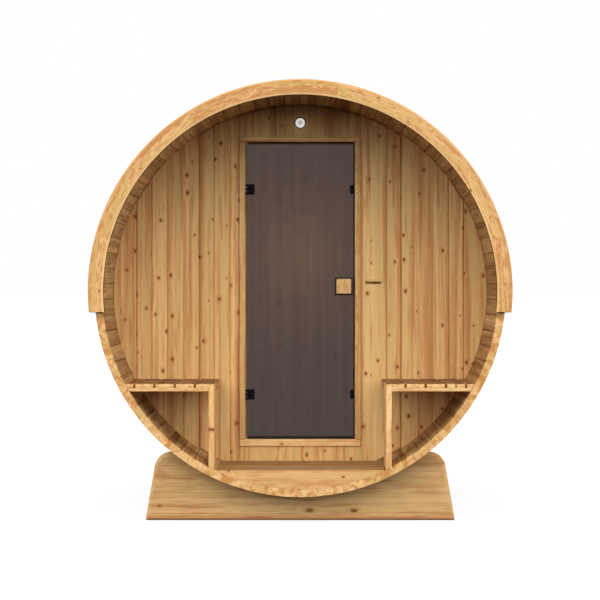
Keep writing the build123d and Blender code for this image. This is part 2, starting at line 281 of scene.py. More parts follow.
        # Then what lies over that mix, from the broadest to the smallest.
        sappy, reddish, lined, hairs = (
            node("MapRange", (source, low, high, 0.0, most), **step)
            for source, low, high, most, step in (
                (sap, 0.46, 0.60, 0.75, SOFT),
                (flame, 0.55, 0.72, self.flame_strength, SOFT),
                (line, 0.54, 0.72, self.line_strength, SOFT),
                (hair, 0.5, 0.75, self.hair_strength, {}),
            )
        )
        ringed, haloed, cored = (
            node("Math", (source, most), operation="MULTIPLY")
            for source, most in ((late, self.ring_strength), (halo, 0.45), (core, 0.9))
        )
        colour = linear(self.pale)
        layers = [
            (share, self.deep, {"clamp_factor": False}),
            (sappy, self.sap, {}),
            (reddish, self.flame, {}),
            (lined, self.flame, {}),
            (ringed, self.flame, {}),
            (hairs, self.knot, {}),
            (haloed, self.flame, {}),
            (cored, self.knot, {}),
        ]
        # Painted shade: wood high up, under the ridge, is greyed and darkened.
        if self.painted_crown_shade:
            height = node("SeparateXYZ", (node("TexCoord").outputs["Object"],)).outputs["Z"]
            crown_shaded = node("MapRange", (height, *self.crown_shade_heights, 0.0, self.painted_crown_shade), **SOFT)
            layers.append((crown_shaded, self.crown_shade_tint, {"blend_type": "MULTIPLY"}))
        for amount, shade, way in layers:
            mixed = {FACTOR: amount, COLOUR_A: colour, COLOUR_B: linear(shade)}
            colour = node("Mix", mixed, data_type="RGBA", **way).outputs[COLOUR_OUT]

        # Planing leaves the hard latewood a little proud.
        height = node("Math", (late, 0.5, hair), operation="MULTIPLY_ADD")
        relief = node("Bump", {"Strength": 0.35, "Distance": 0.0006, "Height": height})
        ends = (self.roughness - self.roughness_swing, self.roughness + self.roughness_swing)
        rough = node("MapRange", (streak, 0.0, 1.0, *ends))
        sheen = {"Roughness": rough, "Specular IOR Level": self.gloss, "Normal": relief}
        return node("BsdfPrincipled", {"Base Color": colour, **sheen})


@dataclass(frozen=True)
class PowderCoat(Coat):
    """Steel with a baked powder coat: a satin sheen over a fine orange-peel skin."""

    colour: str
    roughness: float = 0.42
    dust: str = "6A6D70"
    peel: float = 0.0015  # real peel is about 0.5 mm: drawn coarser, to show at all
    patches: float = 30.0  # worn and dusty ones in a metre
    wear: tuple[float, float] = (-0.07, 0.1)  # what they do to the roughness
    dust_share: float = 0.015
    gloss: float = 0.05

    def surface(self, node: partial) -> bpy.types.Node:
        """Wires the shader.

        Args:
            node: adds a node to the material.

        Returns:
            The shader's node.
        """
        place = node("TexCoord").outputs["Object"]
        skin = node("TexNoise", {"Vector": place, "Scale": 1 / self.peel, "Detail": 2.0})
        cloud = node("TexNoise", {"Vector": place, "Scale": self.patches, "Detail": 3.0})
        ends = (self.roughness + swing for swing in self.wear)
        worn = node("MapRange", (cloud, 0.3, 0.7, *ends))
        dusty = node("MapRange", (cloud, 0.4, 0.8, 0.0, self.dust_share))
        mixed = {FACTOR: dusty, COLOUR_A: linear(self.colour), COLOUR_B: linear(self.dust)}
        colour = node("Mix", mixed, data_type="RGBA").outputs[COLOUR_OUT]
        relief = node("Bump", {"Strength": 0.25, "Distance": 0.0002, "Height": skin})
        sheen = {"Roughness": worn, "Specular IOR Level": self.gloss, "Normal": relief}
        return node("BsdfPrincipled", {"Base Color": colour, **sheen})


@dataclass(frozen=True)
class BrushedSteel(Coat):
    """Stainless strip, rolled and brushed along its length: fine lines, a long soft highlight."""

    colour: str = "A2A4A4"
    roughness: float = 0.38
    scored: str = "74777A"
    line_spacing: float = 0.0012  # real brushing is 0.1 mm: drawn coarser, to show at all
    line_breaks: float = 4.0  # in a metre
    wear: tuple[float, float] = (-0.08, 0.12)  # what the lines do to the roughness
    scoring: float = 0.35

    def surface(self, node: partial) -> bpy.types.Node:
        """Wires the shader.

        Args:
            node: adds a node to the material.

        Returns:
            The shader's node.
        """
        grain = node("Attribute", attribute_name="grain").outputs["Vector"]
        fine = 1 / self.line_spacing
        drawn = node("VectorMath", (grain, (self.line_breaks, fine, fine)), operation="MULTIPLY")
        lines = node("TexNoise", {"Vector": drawn, "Scale": 1.0, "Detail": 2.0})
        ends = (self.roughness + swing for swing in self.wear)
        rough = node("MapRange", (lines, 0.3, 0.7, *ends))
        shade = node("MapRange", (lines, 0.3, 0.7, 0.0, self.scoring))
        mixed = {FACTOR: shade, COLOUR_A: linear(self.colour), COLOUR_B: linear(self.scored)}
        colour = node("Mix", mixed, data_type="RGBA").outputs[COLOUR_OUT]
        relief = node("Bump", {"Strength": 0.15, "Distance": 0.0002, "Height": lines})
        sheen = {"Metallic": 1.0, "Roughness": rough, "Normal": relief}
        return node("BsdfPrincipled", {"Base Color": colour, **sheen})


@dataclass(frozen=True)
class MineralShingle(Coat):
    """Bitumen felt dressed with crushed slate: matt, speckled, each tab a shade of its own."""

    dark: str = "24262A"
    light: str = "55585C"
    grit: float = 0.004  # real granules are about 1 mm: drawn coarser, to show at all
    clouds: float = 9.0  # in a metre
    tab_contrast: float = 0.45
    speck_contrast: float = 0.5
    cloud_contrast: float = 0.5
    even: float = -0.2  # brings the three to an even mix

    def surface(self, node: partial) -> bpy.types.Node:
        """Wires the shader.

        Args:
            node: adds a node to the material.

        Returns:
            The shader's node.
        """
        place = node("TexCoord").outputs["Object"]
        tone = node("Attribute", attribute_name="tone").outputs["Fac"]
        grit = node("TexVoronoi", {"Vector": place, "Scale": 1 / self.grit})
        speck = node("SeparateColor", (grit.outputs["Color"],))
        cloud = node("TexNoise", {"Vector": place, "Scale": self.clouds, "Detail": 3.0})
        share = node("Math", (tone, self.tab_contrast, self.even), operation="MULTIPLY_ADD")
        share = node("Math", (speck, self.speck_contrast, share), operation="MULTIPLY_ADD")
        mixing = {"operation": "MULTIPLY_ADD", "use_clamp": True}
        share = node("Math", (cloud, self.cloud_contrast, share), **mixing)
        mixed = {FACTOR: share, COLOUR_A: linear(self.dark), COLOUR_B: linear(self.light)}
        colour = node("Mix", mixed, data_type="RGBA").outputs[COLOUR_OUT]
        bumps = {"Strength": 0.5, "Distance": 0.001, "Height": grit.outputs["Distance"]}
        relief = node("Bump", bumps, invert=True)
        matt = {"Roughness": 0.92, "Specular IOR Level": 0.3, "Normal": relief}
        return node("BsdfPrincipled", {"Base Color": colour, **matt})


@dataclass(frozen=True)
class SmokedGlass(Coat):
    """Float glass coloured bronze in the melt: dim and warm to look through, soft reflections."""

    tint: str
    roughness: float = 0.1
    ior: float = 1.45
    swells: float = 7.0  # in a metre

    def surface(self, node: partial) -> bpy.types.Node:
        """Wires the shader.

        Args:
            node: adds a node to the material.

        Returns:
            The shader's node.
        """
        place = node("TexCoord").outputs["Object"]
        # Toughened glass is never quite flat: the furnace's rollers leave a faint swell.
        swell = node("TexNoise", {"Vector": place, "Scale": self.swells, "Detail": 0.0})
        clear = {
            "Roughness": self.roughness,
            "IOR": self.ior,
            "Transmission Weight": 1.0,
            "Normal": node("Bump", {"Strength": 0.04, "Distance": 0.002, "Height": swell}),
        }
        return node("BsdfPrincipled", {"Base Color": linear(self.tint), **clear})


@dataclass(frozen=True)
class OpalPlastic(Coat):
    """Moulded acrylic, white through and through: smooth, softly glossy, lit from behind."""

    colour: str
    glow: float
    roughness: float = 0.3
    roughness_swing: float = 0.05
    clouds: float = 60.0  # in a metre

    def surface(self, node: partial) -> bpy.types.Node:
        """Wires the shader.

        Args:
            node: adds a node to the material.

        Returns:
            The shader's node.
        """
        place = node("TexCoord").outputs["Object"]
        cloud = node("TexNoise", {"Vector": place, "Scale": self.clouds, "Detail": 2.0})
        ends = (self.roughness - self.roughness_swing, self.roughness + self.roughness_swing)
        rough = node("MapRange", (cloud, 0.0, 1.0, *ends))
        colour = linear(self.colour)
        lit = {"Emission Color": colour, "Emission Strength": self.glow}
        return node("BsdfPrincipled", {"Base Color": colour, "Roughness": rough, **lit})


class Finish(Enum):
    """Every finish on the sauna. A wood starts with its pale, deep, flame and sap colours."""

    # The staves are greyed and darkened at the top: painted shade.
    STAVE = KnottySoftwood(
        "planed_spruce_stave", "CEA36E", "9B7043", "99663B", "B8935C", knot_spacing=0.17,
        board_contrast=1.1, darkest=1.55, palest=-0.85, painted_crown_shade=0.4, crown_shade_heights=(2.30, 2.36),
    )
    STAVE_END = KnottySoftwood(
        "sanded_spruce_stave_end", "ECBE83", "C88C4B", "C47A44", "DCB673", knot_share=0.12,
        board_contrast=0.7, ring_strength=0.2, line_strength=0.1, figure_contrast=1.6,
        figure_length=0.13,
    )
    STAVE_JOINT = KnottySoftwood(
        "shaded_spruce_stave_joint", "845A35", "5E3C20", "5A3820", "78502C", knot_share=0.1,
        gloss=0.0,
    )
    TRIM = KnottySoftwood(
        "planed_pine_trim", "E9B77A", "CA9056", "C67C45", "D9B46E", knot="8A5426",
        knot_spacing=0.06, knot_share=0.5, knot_radius=(0.001, 0.005), board_contrast=0.6,
        streak_width=0.016, flame_length=0.05, flame_strength=0.8, line_strength=0.25,
        figure_contrast=1.1, figure_length=0.045,
    )
    TRIM_RIM = KnottySoftwood(
        "weathered_pine_outer_edge", "E2AE6C", "D09858", "C08448", "DAA664", knot_share=0.05,
        board_contrast=0.4,
    )
    # Painted shade: dark brown on the arch's inner face and on the chamfers at its feet, where
    # shade falls.
    TRIM_INSIDE = KnottySoftwood(
        "sawn_pine_inner_edge", "4E311A", "392210", "341D0D", "442B16", knot_share=0.1, gloss=0.0
    )
    # Painted highlight: the trim's eased inner edge is paler than the trim, as if it caught the
    # light.
    TRIM_EDGE = KnottySoftwood(
        "freshly_eased_pine_edge", "F3C78C", "E8B578", "DCA064", "EEC482", knot_share=0.1,
        board_contrast=0.4,
    )
    FRAME = KnottySoftwood(
        "planed_pine_door_frame", "DFB478", "C39056", "BB7A44", "D3AA6A",
        knot_radius=(0.004, 0.008), knot_share=0.3, board_contrast=0.4, figure_contrast=0.9,
    )
    FRAME_RAIL = KnottySoftwood(
        "planed_pine_door_head_and_sill", "F6CA90", "DEA86A", "CC884A", "ECC080",
        knot_radius=(0.004, 0.008), knot_share=0.3, board_contrast=0.4, figure_contrast=0.7,
    )
    WALL = KnottySoftwood(
        "planed_pine_wall_board", "ECBF7F", "C58D55", "C07643", "DBB675", knot="80461E",
        knot_spacing=0.125, knot_share=0.7, knot_radius=(0.004, 0.011), board_contrast=0.2,
        band_contrast=0.5, band_width=0.032, streak_contrast=1.3, flame_strength=0.5,
        line_strength=0.1, ring_strength=0.03, hair_strength=0.04,
    )
    # The porch's boards are the wall's, greyed and darkened at the top: painted shade under the
    # roof.
    PORCH_WALL = replace(WALL, name="steamed_pine_porch_board", painted_crown_shade=0.65)
    FLOOR = KnottySoftwood("planed_spruce_floor_board", "BF9A66", "9E7648", "925E38", "B4925C")
    FASCIA = KnottySoftwood(
        "planed_spruce_porch_edge", "E3AF73", "C8935A", "C6804C", "D7AD6C", knot_spacing=0.12,
        knot_share=0.4, knot_radius=(0.004, 0.009), streak_contrast=1.3, flame_strength=0.6,
        line_strength=0.15, figure_contrast=0.9, figure_length=0.07,
    )
    BENCH = KnottySoftwood(
        "planed_spruce_bench_slat", "F1C68A", "DDA668", "CE8A50", "E8BE7A", knot="7A4824",
        knot_spacing=0.11, knot_share=0.6, knot_radius=(0.003, 0.008), board_contrast=0.5,
        figure_contrast=1.4, figure_length=0.045,
    )
    # Painted shade: the slats' tops and undersides and the leg's top are darker than the bench's
    # wood, as if shaded by the roof.
    SLAT = KnottySoftwood(
        "heat_treated_bench_slat", "A0784E", "805834", "73492A", "957344", knot_share=0.25
    )
    CRADLE = KnottySoftwood(
        "rough_planed_pine_cradle", "D5A972", "B98A56", "B07040", "CBA768", knot="74451F",
        knot_spacing=0.17, knot_share=0.75, knot_radius=(0.004, 0.012), knot_stretch=1.9,
        figure_contrast=0.7, figure_length=0.12, roughness=0.7,
    )
    # Painted shade: a darker, more orange pine for the slats' sides in their gaps and the cradle's
    # rounded foot.
    EASED_EDGE = KnottySoftwood(
        "eased_pine_edge", "D39660", "BA7C48", "AC6A3C", "C99058", knot_share=0.1, roughness=0.7
    )
    KNOB = KnottySoftwood(
        "sanded_pine_knob", "DEB478", "C69254", "B4763E", "D6AE6C", knot_share=0.0,
        streak_width=0.02, figure_contrast=1.2, figure_length=0.035, roughness=0.5,
    )
    SHINGLE = MineralShingle("slated_bitumen_shingle")
    BAND = BrushedSteel("brushed_stainless_strip")
    SCREW = BrushedSteel("zinc_plated_screw", "A9B4BE", roughness=0.3)
    IRON = PowderCoat("black_powder_coated_steel", "0C0D0F")
    # Moulded rubber has much the same fine skin as powder coat, only duller.
    # The same black also serves as painted shadow: the ring round the lamp and the square round
    # each knob.
    SEAL = PowderCoat("black_rubber_seal", "303231", roughness=0.7)
    # Painted shadow: a brown strip along the top stop stands for the head's shadow over the glass.
    TOP_SEAL = PowderCoat("brown_rubber_seal", "54371F", roughness=0.7)
    GLASS = SmokedGlass("bronze_float_glass", "A7999C")
    LAMP_RING = OpalPlastic("opal_acrylic_ring", "F0F0EA", glow=0.66)
    LAMP_MIDDLE = OpalPlastic("grey_acrylic_lens", "CFCDC4", glow=0.46)

    @property
    def material(self) -> bpy.types.Material:
        """The finish's material, built the first time it is asked for."""
        return bpy.data.materials.get(self.value.name) or self.value.material()


# ---- making pieces


class Side(Enum):
    """The two sides of the sauna, each by the sign of X there."""

    LEFT = -1
    RIGHT = 1


@dataclass(frozen=True)
class Plank:
    """How a board was sawn from its tree, which places the grain in it."""

    middle: Vector
    along: Vector  # the way its fibre runs
    across: Vector
    heart: Vector  # the board's middle, measured from the tree's heart
    tone: float

    @classmethod
    def sawn(cls, middle: Sequence[float], along: Vector, across: Vector, key: str) -> "Plank":
        """Picks a place in a tree for a board.

        Args:
            middle: the board's middle.
            along: the direction of its fibre.
            across: the direction of its width.
            key: words that name the board, so that it is the same on each run.

        Returns:
            The plank.
        """
        chance = random.Random(key)
        up_the_trunk = chance.uniform(0, 60)
        sideways = chance.choice((-1, 1)) * chance.uniform(0.02, 0.13)
        deep = chance.uniform(0.02, 0.09)
        heart, tone = Vector((up_the_trunk, sideways, deep)), chance.random()
        return cls(Vector(middle), along.normalized(), across.normalized(), heart, tone)

    def grain_at(self, point: Vector) -> Vector:
        """Finds where a point lies in the tree.

        Args:
            point: the point.

        Returns:
            How far it lies along the fibre, and across and up from the tree's heart.
        """
        offset = point - self.middle
        depth = self.along.cross(self.across)
        return self.heart + Vector([offset.dot(way) for way in (self.along, self.across, depth)])


class Piece:
    """One piece in the making: its parts are shaped one at a time and share a mesh."""

    def __init__(self, name: str, *finishes: Finish) -> None:
        """Starts an empty piece.

        Args:
            name: the piece's name.
            finishes: its finishes, which its faces are numbered by, 0 if nothing else is said.
        """
        self.name = name
        self.finishes = finishes
        self.whole = bmesh.new()
        self.grains: list[float] = []
        self.tones: list[float] = []

    def take(self, part: BMesh, plank: Plank, *edge: float) -> None:
        """Adds a shaped part, and frees it.

        Args:
            part: the part's mesh, closed.
            plank: what it was sawn from.
            edge: how far its sharp edges are eased, and in how many segments, if they are.
        """
        if edge:
            ease(part, *edge)
        open_edges = sum(1 for edge in part.edges if not edge.is_manifold)
        if open_edges:
            log.warning("%s: a part has %d open edges", self.name, open_edges)
        spare = bpy.data.meshes.new("spare")
        part.to_mesh(spare)
        part.free()
        self.whole.from_mesh(spare)
        for vertex in spare.vertices:
            self.grains.extend(plank.grain_at(vertex.co))
            self.tones.append(plank.tone)
        bpy.data.meshes.remove(spare)

    def finish(self, body: str, slot: str, node: str, smooth: float | None = None) -> None:
        """Turns the piece into an object that stands for a frame node.

        Args:
            body: the frame body it rides on.
            slot: the record's material slot; not used.
            node: the frame node it replaces.
            smooth: the angle in degrees under which edges are shaded smooth, or None for flat.
        """
        mesh = bpy.data.meshes.new(self.name)
        self.whole.to_mesh(mesh)
        self.whole.free()
        grain = mesh.attributes.new("grain", "FLOAT_VECTOR", "POINT")
        grain.data.foreach_set("vector", self.grains)
        mesh.attributes.new("tone", "FLOAT", "POINT").data.foreach_set("value", self.tones)
        for finish in self.finishes:
            mesh.materials.append(finish.material)
        if smooth is not None:
            mesh.shade_smooth()
            mesh.set_sharp_from_angle(angle=math.radians(smooth))
        made = put(self.name, mesh)
        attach(made, body)
        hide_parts(node)
        log.info("%s: %d faces", self.name, len(mesh.polygons))


def put(name: str, data: bpy.types.ID) -> bpy.types.Object:
    """Puts an object in the scene.

    Args:
        name: the object's name.
        data: its mesh, light or camera.

    Returns:
        The object.
    """
    placed = bpy.data.objects.new(name, data)
    bpy.context.scene.collection.objects.link(placed)
    return placed


def mark(bm: BMesh, number: int, chosen: Callable[[BMFace], bool] = lambda face: True) -> None:
    """Gives a piece's numbered finish to the part's chosen faces, or to all of them."""
    for face in filter(chosen, bm.faces):
        face.material_index = number


def facing(*ways: Vector) -> Callable[[BMFace], bool]:
    """The test for faces that look one of those ways."""
    return lambda face: any(face.normal.dot(way) > TOWARDS for way in ways)


def edges_where(
    bm: BMesh, test: Callable[[Vector, Vector], bool], turn: float = -1
) -> list[BMEdge]:
    """Picks edges of a part.

    Args:
        bm: the part.
        test: what an edge's two ends have to pass.
        turn: the angle that the part has to turn by there, or -1 for any.

    Returns:
        The edges.
    """
    return [e for e in bm.edges if e.calc_face_angle(0) > turn and test(*(v.co for v in e.verts))]


def parallel_edges(
    bm: BMesh, direction: Vector, test: Callable[[Vector], bool] = lambda end: True
) -> list[BMEdge]:
    """Picks a part's sharp edges that run in one direction.

    Args:
        bm: the part.
        direction: the direction, as a unit vector.
        test: what an edge's first end has to pass.

    Returns:
        The edges.
    """
    return edges_where(
        bm, lambda a, b: abs((b - a).normalized().dot(direction)) > PARALLEL and test(a), SHARP
    )


def ease(
    bm: BMesh, width: float, segments: int = 1, chosen: Iterable[BMEdge] | None = None
) -> list[BMFace]:
    """Planes or rounds the edges of a part.

    Args:
        bm: the part.
        width: how far from the edge the cut starts.
        segments: 1 for a flat chamfer, more for a round one.
        chosen: the edges, or None for every sharp one.

    Returns:
        The faces along the eased edges.
    """
    edges = edges_where(bm, lambda a, b: True, SHARP) if chosen is None else list(chosen)
    if not edges:
        return []
    shape = {"offset": width, "offset_type": "OFFSET", "segments": segments, "profile": 0.5}
    made = bmesh.ops.bevel(bm, geom=edges, affect="EDGES", clamp_overlap=True, material=-1, **shape)
    return made["faces"]


def thicken(bm: BMesh, depth: Vector) -> None:
    """Pulls a flat part out into a solid one.

    Args:
        bm: the part.
        depth: how far, and which way.
    """
    grown = bmesh.ops.extrude_face_region(bm, geom=bm.faces[:])
    moved = [item for item in grown["geom"] if isinstance(item, BMVert)]
    bmesh.ops.translate(bm, verts=moved, vec=depth)
    bmesh.ops.recalc_face_normals(bm, faces=bm.faces[:])


def cut(bm: BMesh, point: Sequence[float], outwards: Vector, away: bool = True) -> None:
    """Cuts a part along a plane.

    Args:
        bm: the part. Where it is solid, its cut end is closed again.
        point: a point on the plane.
        outwards: the side that goes.
        away: False to keep both sides, as one part.
    """
    solid = all(edge.is_manifold for edge in bm.edges)
    whole = bm.verts[:] + bm.edges[:] + bm.faces[:]
    plane = {"plane_co": point, "plane_no": outwards}
    made = bmesh.ops.bisect_plane(bm, geom=whole, dist=NEAR, clear_outer=away, **plane)
    rim = [item for item in made["geom_cut"] if isinstance(item, BMEdge)]
    if solid and away and rim:
        bmesh.ops.edgeloop_fill(bm, edges=rim)
        bmesh.ops.recalc_face_normals(bm, faces=bm.faces[:])


def block(low: Sequence[float], high: Sequence[float]) -> BMesh:
    """Starts a square-cut part.

    Args:
        low: its lowest corner.
        high: its highest corner.

    Returns:
        The solid part.
    """
    low, high = Vector(low), Vector(high)
    bm = bmesh.new()
    place = Matrix.Translation((low + high) / 2) @ Matrix.Diagonal((*(high - low), 1))
    bmesh.ops.create_cube(bm, size=1, matrix=place)
    return bm


def outline(corners: Iterable[Sequence[float]], low_y: float, high_y: float) -> BMesh:
    """Starts a part with an upright outline.

    Args:
        corners: the outline's corners, each in X and Z.
        low_y: where along the barrel the part starts.
        high_y: where it ends.

    Returns:
        The solid part.
    """
    bm = bmesh.new()
    bm.faces.new([bm.verts.new((x, low_y, z)) for x, z in corners])
    thicken(bm, Vector((0, high_y - low_y, 0)))
    return bm


def cylinder(
    radius: float, start: Sequence[float], end: Sequence[float], segments: int = 32
) -> BMesh:
    """Starts a round bar.

    Args:
        radius: its radius.
        start: the middle of one end.
        end: the middle of the other.
        segments: how many flats go round it.

    Returns:
        The solid part.
    """
    start, end = Vector(start), Vector(end)
    bm = bmesh.new()
    turn = (end - start).to_track_quat("Z", "Y").to_matrix().to_4x4()
    place = Matrix.Translation((start + end) / 2) @ turn
    size = {"radius1": radius, "radius2": radius, "depth": (end - start).length}
    bmesh.ops.create_cone(bm, cap_ends=True, segments=segments, matrix=place, **size)
    return bm


def recess(bm: BMesh, *steps: tuple[float, float]) -> list[BMFace]:
    """Insets a part's foremost face, step by step.

    Args:
        bm: the part.
        steps: for each inset its width, and how far the face then comes forward.

    Returns:
        The face, and those round it from the last step.
    """
    face = min(bm.faces, key=lambda one: one.calc_center_median().y)
    for width, depth in steps:
        made = bmesh.ops.inset_region(bm, faces=[face], thickness=width, depth=depth)
    return [face, *made["faces"]]


# ---- the frame's shared places


@dataclass(frozen=True)
class Layout:
    """Places that several assemblies share, read from the frame."""

    axis: float  # height of the barrel's axis
    corner: float  # from the axis to the corners of the staves
    front: float
    rear: float
    lining: float  # radius of what fits inside the barrel

    @classmethod
    def read(cls) -> "Layout":
        """Reads the places from the frame's nodes.

        Returns:
            The layout.
        """
        low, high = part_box("barrel_staves_01")
        staves = [name for name in frame["nodes"] if name.startswith("barrel_staves")]
        axis = (min(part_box(name)[0].z for name in staves) + high.z) / 2
        wall_low, wall_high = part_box("rear_wall")
        return cls(axis, high.z - axis, low.y, high.y, (wall_high.z - wall_low.z) / 2)

    def around(self, radius: float, angle: float, y: float = 0.0) -> Vector:
        """A point round the axis, its angle in degrees from +X towards +Z."""
        turn = math.radians(angle)
        return Vector((radius * math.cos(turn), y, self.axis + radius * math.sin(turn)))

    def radial(self, point: Vector) -> Vector:
        """The direction from the axis to a point."""
        return (point - self.around(0, 0, point.y)).normalized()

    def turned(self, angle: float) -> Matrix:
        """The turn about the barrel's axis that takes +X to that angle in degrees."""
        lift = Matrix.Translation((0, 0, self.axis))
        return lift @ Matrix.Rotation(-math.radians(angle), 4, "Y") @ lift.inverted()

    def swept(
        self, section: Iterable[Sequence[float]], start: float, sweep: float, steps: int
    ) -> BMesh:
        """A part that is bent round the barrel's axis.

        Args:
            section: its corners, each a distance from the axis and a place along Y.
            start: the angle of its first end, in degrees from +X towards +Z.
            sweep: how far round it goes, in degrees.
            steps: how many straight lengths it is drawn with.

        Returns:
            The solid part.
        """
        bm = bmesh.new()
        face = bm.faces.new([bm.verts.new((radius, y, self.axis)) for radius, y in section])
        bmesh.ops.transform(bm, matrix=self.turned(start), verts=bm.verts[:])
        turn = {"cent": (0, 0, self.axis), "axis": -ALONG_Y, "angle": math.radians(sweep)}
        rim = [face, *face.edges, *face.verts]
        bmesh.ops.spin(bm, geom=rim, steps=steps, use_merge=False, **turn)
        bmesh.ops.recalc_face_normals(bm, faces=bm.faces[:])
        return bm

    def fitted(self, low: Sequence[float], high: Sequence[float]) -> BMesh:
        """A part between two corners, cut round where the barrel's inside is nearer.

        Args:
            low: its lowest corner.
            high: its highest corner.

        Returns:
            The solid part, its edges still sharp.
        """
        bm = bmesh.new()
        place = Matrix.Translation((0, low[1], self.axis)) @ Matrix.Rotation(math.pi / 2, 4, "X")
        bmesh.ops.create_circle(bm, cap_ends=True, segments=240, radius=self.lining, matrix=place)
        for point, side in ((low, -ALONG_X), (high, ALONG_X), (low, -ALONG_Z), (high, ALONG_Z)):
            cut(bm, point, side)
        thicken(bm, Vector((0, high[1] - low[1], 0)))
        return bm


# ---- barrel


@dataclass
class Barrel:
    """The round wall: staves in thirteen groups of six, and the steel bands round them."""

    layout: Layout
    groups: int = 13
    staves_in_group: int = 6
    thickness: float = 0.042
    joint: float = 0.0002
    kerf_width: float = 0.003  # the shadow line between staves, inside
    kerf_depth: float = 0.005
    tongue_width: float = 0.008
    tongue_length: float = 0.006
    tongue_play: float = 0.00005  # round the tongue in its groove
    outside_groove: float = 0.0025
    end_edge: float = 0.0012
    painted_ridge_shade: float = 0.95  # painted shade: the staves under the ridge are given darker tones
    ridge_shade_start: float = 0.75  # and the painted shade starts this far up the barrel's radius
    painted_shoulder_light: float = 1.0  # painted light: the staves on the left shoulder are given paler tones
    band_width: float = 0.025
    band_thickness: float = 0.0015
    band_ease: float = 0.02  # how far, in degrees, the bands stop short of their box
    band_steps: int = 120  # straight lengths in a band's curve
    bolt_radius: float = 0.006
    bolt_height: float = 0.0028
    bolt_sink: float = 0.0005  # into the band
    bolt_edge: float = 0.0006
    bolt_inset: float = 1.2  # degrees from a band's end

    def stave(self, angle: float, key: str) -> tuple[BMesh, Plank]:
        """Shapes one stave.

        Args:
            angle: where it stands round the axis, in degrees.
            key: the words that name it.

        Returns:
            The stave and its plank.
        """
        half_pitch = math.pi / (self.groups * self.staves_in_group)
        outer = self.layout.corner * math.cos(half_pitch)
        inner = outer - self.thickness
        middle, shoulder = (inner + outer) / 2, inner + self.kerf_depth

        def flank(half: float, reach: float) -> list[tuple[float, float]]:
            """Draws one side of the section: its kerf, and a tongue or a groove.

            Args:
                half: half the width of the tongue or groove.
                reach: how far it stands out of the joint, under 0 for a groove.

            Returns:
                The corners, inside to outside, each a radius and a distance from the middle.
            """
            low, high = middle - half, middle + half
            kerf, slope = -self.kerf_width / 2, math.tan(half_pitch)
            steps = [(inner, kerf), (shoulder, kerf), (shoulder, 0), (low, 0), (low, reach)]
            steps += [(high, reach), (high, 0), (outer, 0)]
            return [(radius, radius * slope - self.joint / 2 + beyond) for radius, beyond in steps]

        play, axis = self.tongue_play, self.layout.axis
        groove = flank(self.tongue_width / 2 + play, -self.tongue_length - play)
        tongue = flank(self.tongue_width / 2, self.tongue_length)
        corners = [(x, axis - z) for x, z in groove] + [(x, axis + z) for x, z in reversed(tongue)]
        bm = outline(corners, self.layout.front, self.layout.rear)
        outside = parallel_edges(bm, ALONG_Y, lambda end: end.x > outer - NEAR)
        ease(bm, self.outside_groove, chosen=outside)
        rims = edges_where(
            bm,
            lambda a, b: max(abs(a.y - b.y), abs(a.x - b.x)) < NEAR
            and (a - b).length > self.thickness,
        )
        ease(bm, self.end_edge, chosen=rims)
        mark(bm, 2, lambda face: inner + NEAR < face.calc_center_median().x < shoulder + NEAR)
        mark(bm, 1, facing(ALONG_Y, -ALONG_Y))
        bmesh.ops.transform(bm, matrix=self.layout.turned(angle), verts=bm.verts[:])
        centre = self.layout.around(middle, angle)
        radial = self.layout.radial(centre)
        height = max(0.0, radial.z)
        under_ridge = max(0.0, height - self.ridge_shade_start) / (1 - self.ridge_shade_start)
        # Painted shade under the ridge, through the stave's tone.
        darker = self.painted_ridge_shade * under_ridge**2
        # Painted light on the left shoulder, through the stave's tone.
        paler = self.painted_shoulder_light * max(0.0, -2 * radial.x * height)
        plank = Plank.sawn(centre, ALONG_Y, ALONG_Y.cross(radial), key)
        return bm, replace(plank, tone=plank.tone + darker - paler)

    def bands(self) -> None:
        """Builds the steel bands, each bolted at its two ends."""
        low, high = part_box("tension_bands")
        axis, half = self.layout.axis, self.band_width / 2
        inner = axis - low.z - self.band_thickness
        outer = inner + self.band_thickness
        # The bands end a little below the axis.
        first = 180 + math.degrees(math.asin((axis - high.z) / inner)) + self.band_ease
        sweep = 2 * (270 - first)
        piece = Piece("steel_bands", Finish.BAND)
        for y in (low.y + half, (low.y + high.y) / 2, high.y - half):
            section = [(inner, y - half), (outer, y - half), (outer, y + half), (inner, y + half)]
            plank = Plank.sawn((0, y, axis), ALONG_X, ALONG_Y, f"band {y:.2f}")
            piece.take(self.layout.swept(section, first, sweep, self.band_steps), plank)
            for end in (first + self.bolt_inset, first + sweep - self.bolt_inset):
                seat = self.layout.around(outer - self.bolt_sink, end, y)
                head = self.layout.around(outer + self.bolt_height, end, y)
                hexagon = cylinder(self.bolt_radius, seat, head, segments=6)
                piece.take(hexagon, plank, self.bolt_edge)
        piece.finish("building", "band_steel", "tension_bands", smooth=30)

    def build(self) -> None:
        """Builds the thirteen groups of staves and the bands."""
        pitch = 360 / (self.groups * self.staves_in_group)
        finishes = (Finish.STAVE, Finish.STAVE_END, Finish.STAVE_JOINT)
        for group in range(self.groups):
            piece = Piece(f"staves_{group + 1:02d}", *finishes)
            start = 90 - pitch * self.staves_in_group * (group + 0.5)
            for index in range(self.staves_in_group):
                piece.take(*self.stave(start + pitch * (index + 0.5), f"stave {group} {index}"))
            piece.finish("building", "stave_wood", f"barrel_staves_{group + 1:02d}")
        self.bands()


# ---- roof


